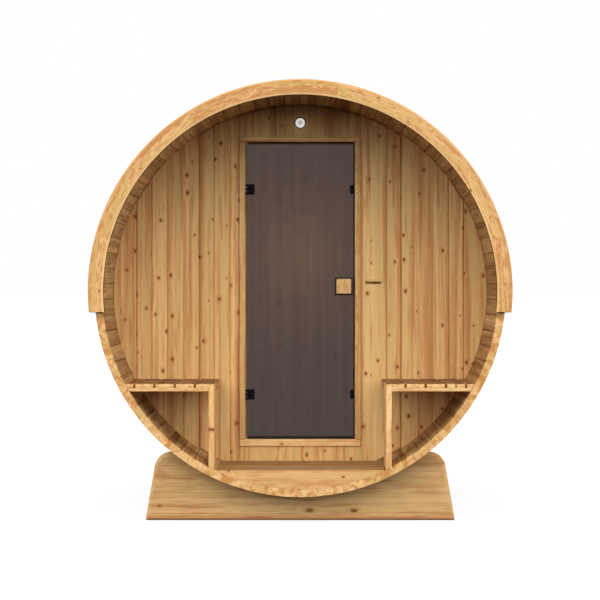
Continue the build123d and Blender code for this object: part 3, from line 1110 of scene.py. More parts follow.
@dataclass
class Roof:
    """The arched trim on each end, and shingles in lapped courses between."""

    layout: Layout
    arch_boards: int = 9
    arch_inner: float = 1.0689
    arch_joint: float = 0.0001
    arch_steps: int = 14  # straight lengths in each board's curve
    inside_play: float = 0.001  # a face this near the inner radius is on the inside
    inner_ease: tuple[float, float] = (0.0105, 0.0028)  # across the face, and back from it
    outer_chamfer: float = 0.008
    foot_chamfer: float = 0.005  # where the arch is cut level; the chamfer is painted in shade
    shy: float = 0.0001  # how far the arch stays inside its box
    courses: int = 26
    lap: float = 1.08  # a course's height in pitches
    shingle_length: float = 0.333
    slot: float = 0.006
    shortest: float = 0.02  # no tab is cut shorter
    felt_face: float = 1.1206  # underside of the felt
    felt_thickness: float = 0.004
    felt_steps: int = 104
    tab_thickness: float = 0.005
    butt_rise: float = 0.0045  # how far a tab's lower edge stands off the felt
    tuck_rise: float = 0.0004  # and its upper edge
    # How far a tab reaches out from those edges, in thicknesses: under its lower and upper one,
    # then over its upper and lower one
    tab_reach: tuple[float, ...] = (-0.9, -0.1, 0.5, 0.95)
    eaves_gap: float = 0.001
    cap_width: float = 0.24
    cap_length: float = 0.2  # about
    cap_gap: float = 0.001
    cap_steps: int = 6
    cap_rise: tuple[float, ...] = (-0.006, 0.0035, -0.0005)  # its underside, front and back edge

    def arch(self, node: str) -> None:
        """Builds one arch: sawn boards end to end, with their ends cut level.

        Args:
            node: the frame node that it stands for.
        """
        low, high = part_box(node)
        axis, inner, outer = self.layout.axis, self.arch_inner, high.x - self.shy
        lag = math.degrees(math.asin((axis - low.z) / inner))
        sweep = (180 + 2 * lag) / self.arch_boards
        gap = math.degrees(self.arch_joint / outer)
        across, back = self.inner_ease
        shown, hidden, way = (low.y, high.y, 1) if abs(low.y) > abs(high.y) else (high.y, low.y, -1)
        section = [
            (inner, shown + way * back),
            (inner + across, shown),
            (outer - self.outer_chamfer, shown),
            (outer, shown + way * self.outer_chamfer),
            (outer, hidden),
            (inner, hidden),
        ]
        finishes = (Finish.TRIM, Finish.TRIM_EDGE, Finish.TRIM_RIM, Finish.TRIM_INSIDE)
        piece = Piece(node.replace("_arch", "_trim"), *finishes)
        depth, frontal = (low.y + high.y) / 2, facing(ALONG_Y, -ALONG_Y)
        for index in range(self.arch_boards):
            start = -lag + index * sweep + gap / 2
            bm = self.layout.swept(section, start, sweep - gap, self.arch_steps)
            cut(bm, (0, 0, low.z), -ALONG_Z)
            foot = parallel_edges(
                bm, ALONG_X, lambda end: abs(end.z - low.z) < NEAR and abs(end.y - shown) < NEAR
            )
            undersides = ease(bm, self.foot_chamfer, 1, foot)
            for face in bm.faces:
                centre = face.calc_center_median()
                radius = math.hypot(centre.x, centre.z - axis)
                fronting = frontal(face)
                # The inner face and the chamfered feet take the painted shade.
                if face in undersides or (radius < inner + self.inside_play and not fronting):
                    face.material_index = 3
                # The eased inner edge takes the painted highlight.
                elif radius < inner + across and fronting:
                    face.material_index = 1
                elif radius > outer - self.outer_chamfer and fronting:
                    face.material_index = 2
            middle = self.layout.around((inner + outer) / 2, start + (sweep - gap) / 2, depth)
            radial = self.layout.radial(middle)
            plank = Plank.sawn(middle, ALONG_Y.cross(radial), radial, f"{node} {index}")
            piece.take(bm, plank)
        piece.finish("building", "trim_wood", node, smooth=12)

    def cover(self) -> None:
        """Builds the felt, the courses of tabs that lap over each other, and the ridge cap."""
        low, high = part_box("roof_cover")
        axis, inner = self.layout.axis, self.felt_face
        outer = inner + self.felt_thickness
        lag = math.degrees(math.asin((axis - low.z) / inner))
        span = 180 + 2 * lag
        piece = Piece("shingles", Finish.SHINGLE)
        section = [(inner, low.y), (outer, low.y), (outer, high.y), (inner, high.y)]
        felt = self.layout.swept(section, -lag, span, self.felt_steps)
        cut(felt, (0, 0, low.z + self.eaves_gap), -ALONG_Z)
        piece.take(felt, Plank.sawn((0, 0, axis), ALONG_Y, ALONG_X, "felt"))
        pitch = span / self.courses
        for number in range(self.courses // 2):
            for side in Side:
                self.course(piece, -lag + number * pitch, pitch * self.lap, side, number)
        self.cap(piece, low.y, high.y)
        piece.finish("building", "roof_shingle", "roof_cover")

    def course(self, piece: Piece, below: float, height: float, side: Side, number: int) -> None:
        """Lays one course of tabs. Its lower edge stands proud, and its upper one is tucked flat.

        Args:
            piece: the roof in the making.
            below: its lower edge, in degrees above the axis.
            height: how far up it goes, in degrees.
            side: its side of the ridge.
            number: which it is, counted from the eaves.
        """
        low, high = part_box("roof_cover")
        felt = self.felt_face + self.felt_thickness
        lower = self.layout.around(felt + self.butt_rise, below)
        upper = self.layout.around(felt + self.tuck_rise, below + height)
        out = self.layout.radial((lower + upper) / 2) * self.tab_thickness
        edges = (lower, upper, upper, lower)
        corners = [edge + out * reach for edge, reach in zip(edges, self.tab_reach)]
        y = low.y - (self.shingle_length / 2 if number % 2 else 0)
        tab = 0
        while y < high.y - self.shortest:
            start, end = max(y, low.y), min(y + self.shingle_length - self.slot, high.y)
            y += self.shingle_length
            tab += 1
            if end - start < self.shortest:
                continue
            bm = outline([(point.x * side.value, point.z) for point in corners], start, end)
            cut(bm, (0, 0, low.z + self.eaves_gap), -ALONG_Z)
            key = f"tab {side.value} {number} {tab}"
            piece.take(bm, Plank.sawn((0, start, lower.z), ALONG_Y, ALONG_Z, key))

    def cap(self, piece: Piece, front: float, rear: float) -> None:
        """Lays the cap tabs along the ridge, each lapping the one behind it.

        Args:
            piece: the roof in the making.
            front: where along Y the cap starts.
            rear: where it ends.
        """
        top = self.felt_face + self.felt_thickness + self.tab_thickness + self.butt_rise
        half = math.degrees(self.cap_width / 2 / top)
        count = math.ceil((rear - front) / self.cap_length)
        length = (rear - front) / count
        for index in range(count):
            start = front + index * length
            end = start + length - self.cap_gap
            below, front_top, back_top = (top + rise for rise in self.cap_rise)
            section = [(below, start), (front_top, start), (back_top, end), (below, end)]
            bm = self.layout.swept(section, 90 - half, half * 2, self.cap_steps)
            piece.take(bm, Plank.sawn((0, start, top), ALONG_Y, ALONG_X, f"cap {index}"))

    def build(self) -> None:
        """Builds both arches and the cover."""
        self.arch("front_arch")
        self.arch("rear_arch")
        self.cover()


# ---- end walls


@dataclass
class EndWalls:
    """The two end walls of upright boards, with the vent and the lamp on the front one."""

    layout: Layout
    board_pitch: float = 0.090
    joint: float = 0.0001
    groove: float = 0.0002
    rim: float = 0.011  # eased where the boards meet the staves
    rim_play: float = 0.0005  # a corner this near the lining lies on it
    narrowest: float = 0.002  # a narrower strip is left out
    slot_height: float = 0.013  # the air slot, right under the vent
    plate_thickness: float = 0.005
    plate_edge: float = 0.0015
    lip_height: float = 0.014
    lip_depth: float = 0.018
    lip_gap: float = 0.001  # how far it stops short of the wall
    lip_edge: float = 0.002
    lamp_shy: float = 0.002  # how far the lamp stays inside its box
    lamp_edge: float = 0.008
    lamp_segments: int = 64
    ring_share: float = 0.12  # the flat of the ring, as a share of the lamp's radius
    lens_steps: tuple = ((0.001, -0.0015), (0.004, 0.001))  # down into a groove, then a crown
    # Painted shadow: a black ring round the lamp, on the wall.
    lamp_shadow_margin: float = 0.006
    lamp_shadow_ends: tuple[float, float] = (0.0005, 0.003)  # from the wall
    lamp_shadow_rise: float = 0.002  # a little more of the painted shadow shows above than below

    def board_joints(self) -> list[float]:
        """Where the joints between boards stand, with one board's middle on the centre line."""
        count = math.ceil(self.layout.lining / self.board_pitch + 0.5)
        return [(index - 0.5) * self.board_pitch for index in range(-count + 1, count + 1)]

    def plank(self, across: float, depth: float, key: str) -> Plank:
        """Gives the board of a wall that covers one place.

        Args:
            across: where along X.
            depth: where along Y.
            key: the words that name the wall's boards.

        Returns:
            The plank, the same one for every part that is cut from it.
        """
        joints = self.board_joints()
        index = bisect(joints, across) - 1
        middle = (joints[index] + joints[index + 1]) / 2
        return Plank.sawn((middle, depth, self.layout.axis), ALONG_Z, ALONG_X, f"{key} {index}")

    def board(self, low: Sequence[float], high: Sequence[float], joints: tuple) -> BMesh | None:
        """Shapes one board, or a part of one.

        Args:
            low: its lowest corner.
            high: its highest corner.
            joints: where along X its two long edges are eased.

        Returns:
            The board, or None where it would lie outside the barrel.
        """
        bm = self.layout.fitted(low, high)
        if not bm.faces:
            bm.free()
            return None
        axis, lining = self.layout.axis, self.layout.lining
        rims = edges_where(
            bm,
            lambda a, b: abs(a.y - b.y) < NEAR
            and all(abs(math.hypot(p.x, p.z - axis) - lining) < self.rim_play for p in (a, b)),
        )
        ease(bm, self.rim, 1, rims)
        ease(
            bm,
            self.groove,
            chosen=parallel_edges(
                bm, ALONG_Z, lambda end: min(abs(end.x - x) for x in joints) < self.joint
            ),
        )
        return bm

    def wall(self, node: str, name: str, finish: Finish, key: str) -> None:
        """Builds a wall, or its part on one side of the door.

        Args:
            node: the frame node that it stands for.
            name: the piece's name.
            finish: its boards' finish.
            key: the words that name the wall's boards.
        """
        low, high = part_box(node)
        vent_low, vent_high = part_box("air_vent")
        slot = (vent_low.x, vent_low.z - self.slot_height, vent_high.x, vent_low.z)
        piece = Piece(name, finish)
        joints = self.board_joints()
        for left, right in zip(joints, joints[1:]):
            start, end = max(low.x, left + self.joint / 2), min(high.x, right - self.joint / 2)
            if end - start < self.narrowest:
                continue
            spans = [(start, low.z, end, high.z)]
            if node == "front_wall_right" and start < slot[2] and end > slot[0]:
                # A board that the slot crosses is in parts: under it, over it and beside it.
                x0, z0, x1, z1 = slot
                spans = [(start, low.z, end, z0), (start, z1, end, high.z)]
                spans += [(start, z0, x0, z1), (x1, z0, end, z1)]
            plank = self.plank((left + right) / 2, low.y, key)
            for x0, z0, x1, z1 in spans:
                if x0 < x1 and (bm := self.board((x0, low.y, z0), (x1, high.y, z1), (left, right))):
                    piece.take(bm, plank)
        piece.finish("building", "wall_wood", node)

    def vent(self) -> None:
        """Builds the vent's plate over the slot, cut from the wall's own board, and its lip."""
        low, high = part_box("air_vent")
        piece = Piece("vent_lip", Finish.WALL, Finish.TRIM)
        plate = block((low.x, high.y - self.plate_thickness, low.z), high)
        plank = self.plank((low.x + high.x) / 2, high.y, "front board")
        piece.take(plate, plank, self.plate_edge, 2)
        top = (high.x, high.y - self.lip_gap, low.z + self.lip_height)
        lip = block((low.x, high.y - self.lip_depth, low.z), top)
        ease(lip, self.lip_edge, 3)
        mark(lip, 1)
        piece.take(lip, Plank.sawn((low + high) / 2, ALONG_X, ALONG_Z, "vent"))
        piece.finish("building", "trim_wood", "air_vent")

    def lamp(self) -> None:
        """Builds the round lamp: an opal ring with a lens set into it, on a black ring of painted
        shadow.
        """
        low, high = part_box("porch_lamp")
        middle = (low + high) / 2
        radius = (high.x - low.x) / 2 - self.lamp_shy
        plank = Plank.sawn(middle, ALONG_X, ALONG_Z, "lamp")
        piece = Piece("lamp", Finish.LAMP_RING, Finish.LAMP_MIDDLE, Finish.SEAL)
        back, face = ((middle.x, y, middle.z) for y in (high.y, low.y))
        body = cylinder(radius, back, face, self.lamp_segments)
        front = edges_where(body, lambda a, b: max(abs(a.y - low.y), abs(b.y - low.y)) < NEAR, 1)
        ease(body, self.lamp_edge, segments=5, chosen=front)
        for face in recess(body, (radius * self.ring_share, 0), *self.lens_steps):
            face.material_index = 1
        piece.take(body, plank)
        # The black ring of painted shadow, standing a little high.
        raised = middle.z + self.lamp_shadow_rise
        ends = ((middle.x, high.y - inset, raised) for inset in self.lamp_shadow_ends)
        shade_ring = cylinder(radius + self.lamp_shadow_margin, *ends, self.lamp_segments)
        mark(shade_ring, 2)
        piece.take(shade_ring, plank)
        piece.finish("building", "lamp_white", "porch_lamp", smooth=30)

    def build(self) -> None:
        """Builds both walls, the vent and the lamp."""
        for part in ("left", "right", "over_door", "under_door"):
            name = f"wall_boards_{part}"
            self.wall(f"front_wall_{part}", name, Finish.PORCH_WALL, "front board")
        self.wall("rear_wall", "wall_boards_rear", Finish.WALL, "rear board")
        self.vent()
        self.lamp()


# ---- floors


@dataclass
class Floors:
    """The porch's deck and fascia, the cabin's deck, and the bearers under them."""

    layout: Layout
    board_width: float = 0.095
    gap: float = 0.003
    edge: float = 0.0025
    rough_edge: float = 0.002
    bearer: float = 0.045

    def beam(
        self, piece: Piece, corners: Iterable[Sequence[float]], key: str, *edge: float
    ) -> None:
        """Adds a board across the barrel, its ends cut to the barrel's round.

        Args:
            piece: what it belongs to.
            corners: its lowest and its highest corner.
            key: the words that name it.
            edge: how far its long edges are eased, and in how many segments.
        """
        low, high = corners
        bm = self.layout.fitted(low, high)
        ease(bm, *edge, parallel_edges(bm, ALONG_X))
        across = ALONG_Z if key == "fascia" else ALONG_Y
        middle = (0, (low[1] + high[1]) / 2, (low[2] + high[2]) / 2)
        piece.take(bm, Plank.sawn(middle, ALONG_X, across, key))

    def deck(self, node: str, name: str) -> None:
        """Lays boards across the barrel.

        Args:
            node: the frame node that they stand for.
            name: the piece's name.
        """
        low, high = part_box(node)
        count = round((high.y - low.y) / self.board_width)
        pitch = (high.y - low.y) / count
        piece = Piece(name, Finish.FLOOR)
        for index in range(count):
            y0 = low.y + index * pitch + (self.gap / 2 if index else 0)
            y1 = low.y + (index + 1) * pitch - (self.gap / 2 if index < count - 1 else 0)
            corners = (low.x, y0, low.z), (high.x, y1, high.z)
            self.beam(piece, corners, f"{name} {index}", self.edge, 2)
        piece.finish("building", "floor_wood", node)

    def build(self) -> None:
        """Builds both decks, the board along the porch's edge and the bearers."""
        self.deck("porch_deck", "porch_boards")
        self.deck("cabin_deck", "cabin_boards")

        piece = Piece("deck_fascia", Finish.FASCIA)
        self.beam(piece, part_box("porch_fascia"), "fascia", self.rough_edge, 2)
        piece.finish("building", "floor_wood", "porch_fascia")

        low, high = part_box("floor_bearers")
        cabin_low, cabin_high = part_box("cabin_deck")
        step = (cabin_high.y - cabin_low.y - self.bearer) / 2
        piece = Piece("deck_bearers", Finish.FLOOR)
        for index, y in enumerate([low.y, *(cabin_low.y + place * step for place in range(3))]):
            corners = (low.x, y, low.z), (high.x, y + self.bearer, high.z)
            self.beam(piece, corners, f"bearer {index}", self.rough_edge, 1)
        piece.finish("building", "floor_wood", "floor_bearers")


# ---- door


@dataclass
class DoorFrame:
    """Jambs, head and sill, with the stops that close the gap behind the glass."""

    round_over: float = 0.004
    sill_round: float = 0.009
    stop_edge: float = 0.0015
    lap: float = 0.003  # how far the glass covers the stops

    def build(self) -> None:
        """Builds the frame and stops: two have a rubber seal that the glass meets, the top one
        painted shadow.
        """
        jamb_low, jamb_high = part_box("door_jambs")
        stop_low, stop_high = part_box("door_stops")
        (left, front, bottom), (right, back, top) = stop_low, stop_high
        glass_low, glass_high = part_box("door_glass")
        inner, under = glass_high.x - self.lap, glass_low.z + self.lap
        over = glass_high.z - self.lap
        # For each part its members, each with its name, its two corners, whether it is upright
        # and the number of its seal's finish, or 0 for none: 1 a rubber seal, 2 painted shadow.
        for part, finishes, radius, members in (
            (
                "jambs",
                (Finish.FRAME,),
                self.round_over,
                (
                    ("jamb left", jamb_low, (left, jamb_high.y, jamb_high.z), True, 0),
                    ("jamb right", (right, jamb_low.y, jamb_low.z), jamb_high, True, 0),
                ),
            ),
            (
                "head",
                (Finish.FRAME_RAIL,),
                self.round_over,
                (("frame_head", *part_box("door_head"), False, 0),),
            ),
            (
                "sill",
                (Finish.FRAME_RAIL,),
                self.sill_round,
                (("frame_sill", *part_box("door_sill"), False, 0),),
            ),
            (
                "stops",
                (Finish.FRAME, Finish.SEAL, Finish.TOP_SEAL),
                self.stop_edge,
                (
                    ("stop left", stop_low, (-inner, back, top), True, 0),
                    ("stop right", (inner, front, bottom), stop_high, True, 1),
                    ("stop bottom", (-inner, front, bottom), (inner, back, under), False, 1),
                    ("stop top", (-inner, front, over), (inner, back, top), False, 2),
                ),
            ),
        ):
            piece = Piece(f"frame_{part}", *finishes)
            for key, low, high, upright, seal in members:
                bm = block(low, high)
                ease(bm, radius, 3)
                if seal:
                    mark(bm, seal, facing(-ALONG_Y))
                fibre = (ALONG_Z, ALONG_X) if upright else (ALONG_X, ALONG_Z)
                piece.take(bm, Plank.sawn((Vector(low) + Vector(high)) / 2, *fibre, key))
            piece.finish("building", "trim_wood", f"door_{part}", smooth=25)


@dataclass
class Door:
    """The glass leaf with its hinges, catches and two wooden knobs."""

    glass_edge: float = 0.001
    knuckle_radius: float = 0.006
    pin_radius: float = 0.003
    hinge_height: float = 0.060
    knuckle_play: tuple[float, float] = (0.0003, 0.0005)  # the bracket's, and the strap's
    bracket_size: tuple[float, float] = (0.010, 0.010)  # across the jamb, and out of it
    bracket_screws: float = 0.012  # above and below the hinge's middle
    web_start: float = 0.002  # from the bracket's outer side
    strap_start: float = 0.006  # from the pin
    strap_thickness: float = 0.005
    strap_corner: float = 0.006
    strap_screws: tuple[float, float] = (0.017, 0.019)  # from its start, and above and below
    arm_length: float = 0.012
    catch_height: float = 0.050
    catch_corner: float = 0.004
    plate_edge: float = 0.0012
    metal_edge: float = 0.0008
    knob_thickness: float = 0.026
    knob_corner: float = 0.006
    knob_edge: float = 0.0035
    neck_radius: float = 0.015
    neck_sink: float = 0.002  # into the knob
    shadow_pad_margin: float = 0.009  # a black square of painted shadow between knob and glass
    shadow_pad_thickness: float = 0.002
    shadow_pad_corner: float = 0.004
    screw_radius: float = 0.0032
    screw_height: float = 0.0016
    screw_sink: float = 0.0002
    screw_dome: float = 0.0009
    socket_steps: tuple = ((0.0009, 0), (0.0002, -0.0007))  # in to its socket, then down it

    def leaf(self) -> None:
        """Builds the sheet of glass, its edges ground to a small flat."""
        low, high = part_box("door_glass")
        plank = Plank.sawn((low + high) / 2, ALONG_X, ALONG_Z, "glass")
        piece = Piece("glass_leaf", Finish.GLASS)
        piece.take(block(low, high), plank, self.glass_edge)
        piece.finish("door", "smoked_glass", "door_glass")

    def screw(self, piece: Piece, place: Sequence[float], key: str, number: int = 0) -> None:
        """Adds a dome-headed screw with a socket in its head, facing the porch.

        Args:
            piece: what it holds.
            place: where it goes into the piece's face.
            key: the words that name it.
            number: the piece's finish that it gets.
        """
        seat = Vector(place) + ALONG_Y * self.screw_sink
        bm = cylinder(self.screw_radius, seat, seat - ALONG_Y * self.screw_height, segments=20)
        crown = seat.y - self.screw_height
        rim = edges_where(bm, lambda a, b: max(abs(a.y - crown), abs(b.y - crown)) < NEAR, 1)
        ease(bm, self.screw_dome, segments=3, chosen=rim)
        recess(bm, *self.socket_steps)
        mark(bm, number)
        piece.take(bm, Plank.sawn(seat, ALONG_X, ALONG_Z, key))

    def hinge(self, brackets: Piece, straps: Piece, level: float) -> None:
        """Builds one hinge, its bracket on the jamb and its strap on the glass.

        Args:
            brackets: the piece that its bracket belongs to.
            straps: the piece that its strap belongs to.
            level: the height of its middle.
        """
        x, y, _ = frame["joints"][0]["pos_m"]
        jamb, strap_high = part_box("hinge_brackets")[0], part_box("hinge_straps")[1]
        glass_low, glass_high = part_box("door_glass")
        third, edge, key = self.hinge_height / 3, self.metal_edge, f"hinge {level:.2f}"
        low, high = level - self.hinge_height / 2, level + self.hinge_height / 2
        plank = Plank.sawn((x, y, level), ALONG_Z, ALONG_X, key)

        # The bracket's plate stops short of the knuckles, which have webs of their own.
        width, depth = self.bracket_size
        plate = block((jamb.x, jamb.y, low), (jamb.x + width, jamb.y + depth, high))
        brackets.take(plate, plank, self.plate_edge, 2)
        for side in (-1, 1):
            place = (jamb.x + width / 2, jamb.y, level + side * self.bracket_screws)
            self.screw(brackets, place, key, 1)

        # The strap's knuckle turns between the bracket's two.
        for middle in (level - third, level + third, level):
            piece = straps if middle == level else brackets
            play = self.knuckle_play[middle == level]
            bottom, top = middle - third / 2, middle + third / 2
            knuckle = cylinder(self.knuckle_radius, (x, y, bottom + play), (x, y, top - play))
            piece.take(knuckle, plank, edge, 2)
            if piece is brackets:
                start = (jamb.x + self.web_start, y - self.pin_radius, bottom + edge)
                brackets.take(block(start, (x, y + self.pin_radius, top - edge)), plank)
            else:
                # The bar from the knuckle to the plate, square on.
                arm = block((x, y, bottom + play), (x + self.arm_length, glass_low.y, top - play))
                straps.take(arm, plank, edge)
        brackets.take(cylinder(self.pin_radius, (x, y, low), (x, y, high)), plank)

        # A plate on each side of the glass, screwed together from the porch.
        left, depth = x + self.strap_start, self.strap_thickness
        for near, sides in ((glass_low.y - depth, (-1, 1)), (glass_high.y, ())):
            leaf = block((left, near, low), (strap_high.x, near + depth, high))
            corners = parallel_edges(leaf, ALONG_Y, lambda end: end.x > left + NEAR)
            ease(leaf, self.strap_corner, segments=5, chosen=corners)
            straps.take(leaf, plank, edge, 2)
            for side in sides:
                along, up = self.strap_screws
                self.screw(straps, (left + along, near, level + side * up), key)

    def catches(self) -> None:
        """Builds the two catch plates at the glass's free edge."""
        low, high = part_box("door_catches")
        piece = Piece("catch_plates", Finish.IRON)
        for bottom in (low.z, high.z - self.catch_height):
            bm = block((low.x, low.y, bottom), (high.x, high.y, bottom + self.catch_height))
            corners = parallel_edges(bm, ALONG_Y, lambda end: end.x < high.x - NEAR)
            ease(bm, self.catch_corner, segments=4, chosen=corners)
            plank = Plank.sawn((low.x, low.y, bottom), ALONG_Z, ALONG_X, "catch")
            piece.take(bm, plank, self.metal_edge, 2)
            middle = ((low.x + high.x) / 2, low.y, bottom + self.catch_height / 2)
            self.screw(piece, middle, "catch screw")
        piece.finish("door", "black_metal", "door_catches", smooth=30)

    def knob(self, node: str, name: str, way: int) -> None:
        """Builds one knob: a square of wood with softened edges, on a turned neck, with a black
        square of painted shadow round it on the glass.

        Args:
            node: the frame node that it stands for.
            name: the piece's name.
            way: -1 for the porch's side of the glass, 1 for the cabin's.
        """
        low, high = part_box(node)
        x, _, z = (low + high) / 2
        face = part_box("door_glass")[max(way, 0)].y
        tip = (low, high)[max(way, 0)].y
        back = tip - way * self.knob_thickness
        piece = Piece(name, Finish.KNOB, Finish.SEAL)
        plank = Plank.sawn((low + high) / 2, ALONG_Z, ALONG_X, name)
        near, far = sorted((back, tip))
        grip = block((low.x, near, low.z), (high.x, far, high.z))
        ease(grip, self.knob_corner, segments=4, chosen=parallel_edges(grip, ALONG_Y))
        piece.take(grip, plank, self.knob_edge, 4)
        bedded = back + way * self.neck_sink
        neck = cylinder(self.neck_radius, (x, face, z), (x, bedded, z), segments=40)
        piece.take(neck, plank)
        # Painted shadow: a black square round the knob, on the glass.
        near, far = sorted((face, face + way * self.shadow_pad_thickness))
        margin = Vector((self.shadow_pad_margin, 0, self.shadow_pad_margin))
        shadow_pad = block(Vector((low.x, near, low.z)) - margin, Vector((high.x, far, high.z)) + margin)
        ease(shadow_pad, self.shadow_pad_corner, segments=3, chosen=parallel_edges(shadow_pad, ALONG_Y))
        mark(shadow_pad, 1)
        piece.take(shadow_pad, plank)
        piece.finish("door", "knob_wood", node, smooth=30)

    def build(self) -> None:
        """Builds the leaf and everything fixed to it."""
        self.leaf()
        low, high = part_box("hinge_brackets")
        brackets = Piece("jamb_brackets", Finish.IRON, Finish.SCREW)
        straps = Piece("glass_straps", Finish.IRON)
        for level in (high.z - self.hinge_height / 2, low.z + self.hinge_height / 2):
            self.hinge(brackets, straps, level)
        brackets.finish("building", "black_metal", "hinge_brackets", smooth=30)
        straps.finish("door", "black_metal", "hinge_straps", smooth=30)
        self.catches()
        self.knob("knob_outside", "outer_knob", -1)
        self.knob("knob_inside", "inner_knob", 1)


# ---- benches


@dataclass
class Bench:
    """One porch bench: slats along the barrel on two rails, and a leg."""

    layout: Layout
    side: Side
    slat_width: float = 0.099
    slat_gap: float = 0.011
    narrowest: float = 0.02  # a narrower slat is left out
    slat_edge: float = 0.0025
    notched_edge: float = 0.001
    rail_depth: float = 0.045
    rail_edge: float = 0.0015
    leg_edge: float = 0.002

    def between(self, near: float, far: float, low: tuple, high: tuple) -> BMesh:
        """Shapes a part that is cut to the barrel's round.

        Args:
            near: how far out from the middle of the porch it starts.
            far: how far out it ends.
            low: its lowest Y and Z.
            high: its highest Y and Z.

        Returns:
            The part, its edges still sharp.
        """
        x = sorted((self.side.value * near, self.side.value * far))
        return self.layout.fitted((x[0], *low), (x[1], *high))

    def slats(self, node: str, inner: float, outer: float, leg_back: float) -> None:
        """Lays the slats, the inner one notched round the top of the leg.

        Args:
            node: the frame node that they stand for.
            inner: how far out from the middle of the porch they start.
            outer: how far out the leg's outer face is.
            leg_back: where along Y the leg ends.
        """
        low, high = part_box(node)
        side, reach = self.side.name.lower(), max(abs(low.x), abs(high.x))
        piece = Piece(f"{side}_slats", Finish.SLAT, Finish.BENCH, Finish.EASED_EDGE)
        start, index = inner, 0
        while start + self.narrowest < reach:
            end = start + self.slat_width
            notched = [(start, leg_back, high.y), (outer, low.y, leg_back)]
            middle = (self.side.value * (start + end) / 2, 0, high.z)
            plank = Plank.sawn(middle, ALONG_Y, ALONG_X, f"{side} slat {index}")
            for near, front, back in [(start, low.y, high.y)] if index else notched:
                bm = self.between(near, end, (front, low.z), (back, high.z))
                ease(bm, self.slat_edge if index else self.notched_edge, 3)
                # Tops and undersides keep the slats' painted shade.
                mark(bm, 1, facing(ALONG_Y, -ALONG_Y))
                # The sides, in the gaps, take a painted shade.
                mark(bm, 2, facing(ALONG_X, -ALONG_X))
                piece.take(bm, plank)
            start, index = end + self.slat_gap, index + 1
        piece.finish("building", "bench_wood", node, smooth=30)

    def build(self) -> None:
        """Builds the slats, the rails and the leg."""
        side, sign = self.side.name.lower(), self.side.value
        leg_low, leg_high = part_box(f"{side}_bench_leg")
        inner, outer = sorted((abs(leg_low.x), abs(leg_high.x)))
        self.slats(f"{side}_bench_slats", inner, outer, leg_high.y)

        low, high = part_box(f"{side}_bench_rails")
        piece = Piece(f"{side}_rails", Finish.BENCH)
        for key, near, y in (("front", outer, low.y), ("back", inner, high.y - self.rail_depth)):
            # The rails run out to the staves.
            far = self.layout.corner
            bm = self.between(near, far, (y, low.z), (y + self.rail_depth, high.z))
            plank = Plank.sawn((sign * near, y, low.z), ALONG_X, ALONG_Z, f"{side} rail {key}")
            piece.take(bm, plank, self.rail_edge, 2)
        piece.finish("building", "bench_wood", f"{side}_bench_rails", smooth=30)

        piece = Piece(f"{side}_leg", Finish.BENCH, Finish.SLAT)
        bm = self.between(inner, outer, (leg_low.y, leg_low.z), (leg_high.y, leg_high.z))
        ease(bm, self.leg_edge, 3)
        # The leg's top takes the slats' painted shade.
        mark(bm, 1, facing(ALONG_Z))
        piece.take(bm, Plank.sawn((leg_low + leg_high) / 2, ALONG_Z, ALONG_Y, f"{side} leg"))
        piece.finish("building", "bench_wood", f"{side}_bench_leg", smooth=30)


# ---- cradles


@dataclass
class Cradle:
    """A thick board on edge, rounded over, with a saddle that the barrel lies in."""

    node: str
    foot_strip: float = 0.028  # along the foot, where the edge is rounded over and painted in shade
    flat: float = math.radians(0.5)  # faces that turn by less are one

    def build(self) -> None:
        """Dresses a merged copy of the frame's shape."""
        low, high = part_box(self.node)
        bm = bmesh.new()
        bm.from_mesh(frame["nodes"][self.node].data)
        bmesh.ops.remove_doubles(bm, verts=bm.verts[:], dist=NEAR)
        whole = {"verts": bm.verts[:], "edges": bm.edges[:]}
        bmesh.ops.dissolve_limit(bm, angle_limit=self.flat, delimit={"NORMAL"}, **whole)
        mark(bm, 0)
        strip = low.z + self.foot_strip
        cut(bm, (0, 0, strip), ALONG_Z, away=False)
        # The rounded foot takes a painted shade.
        mark(bm, 1, lambda face: face.calc_center_median().z < strip)
        name = self.node.replace("_cradle", "_saddle_board")
        piece = Piece(name, Finish.CRADLE, Finish.EASED_EDGE)
        piece.take(bm, Plank.sawn((low + high) / 2, ALONG_X, ALONG_Z, self.node))
        piece.finish("building", "cradle_wood", self.node, smooth=25)


# ---- studio


def seen(node: partial) -> bpy.types.Node:
    """Adds the nodes that tell rays which show a thing from rays which light others.

    Args:
        node: adds a node to the material.

    Returns:
        The node that gives 1 for the first and 0 for the second.
    """
    rays = node("LightPath").outputs
    either = node("Math", (rays["Is Camera Ray"], rays["Is Glossy Ray"]), operation="MAXIMUM")
    return node("Math", (either, rays["Is Transmission Ray"]), operation="MAXIMUM")


@dataclass(frozen=True)
class StudioPaint(Coat):
    """Matt white studio paint: white to look at, with shadows on it, and dim to what it lights."""

    shown: float = 0.2
    lift: float = 0.825
    dim: float = 0.03

    def surface(self, node: partial) -> bpy.types.Node:
        """Wires the shader.

        Args:
            node: adds a node to the material.

        Returns:
            The shader's node.
        """
        shades = (self.shown, self.dim)
        paint, dim = (node("BsdfDiffuse", {"Color": (grey, grey, grey, 1.0)}) for grey in shades)
        lift = node("Emission", {"Color": (1.0, 1.0, 1.0, 1.0), "Strength": self.lift})
        return node("MixShader", (seen(node), dim, node("AddShader", (paint, lift))))


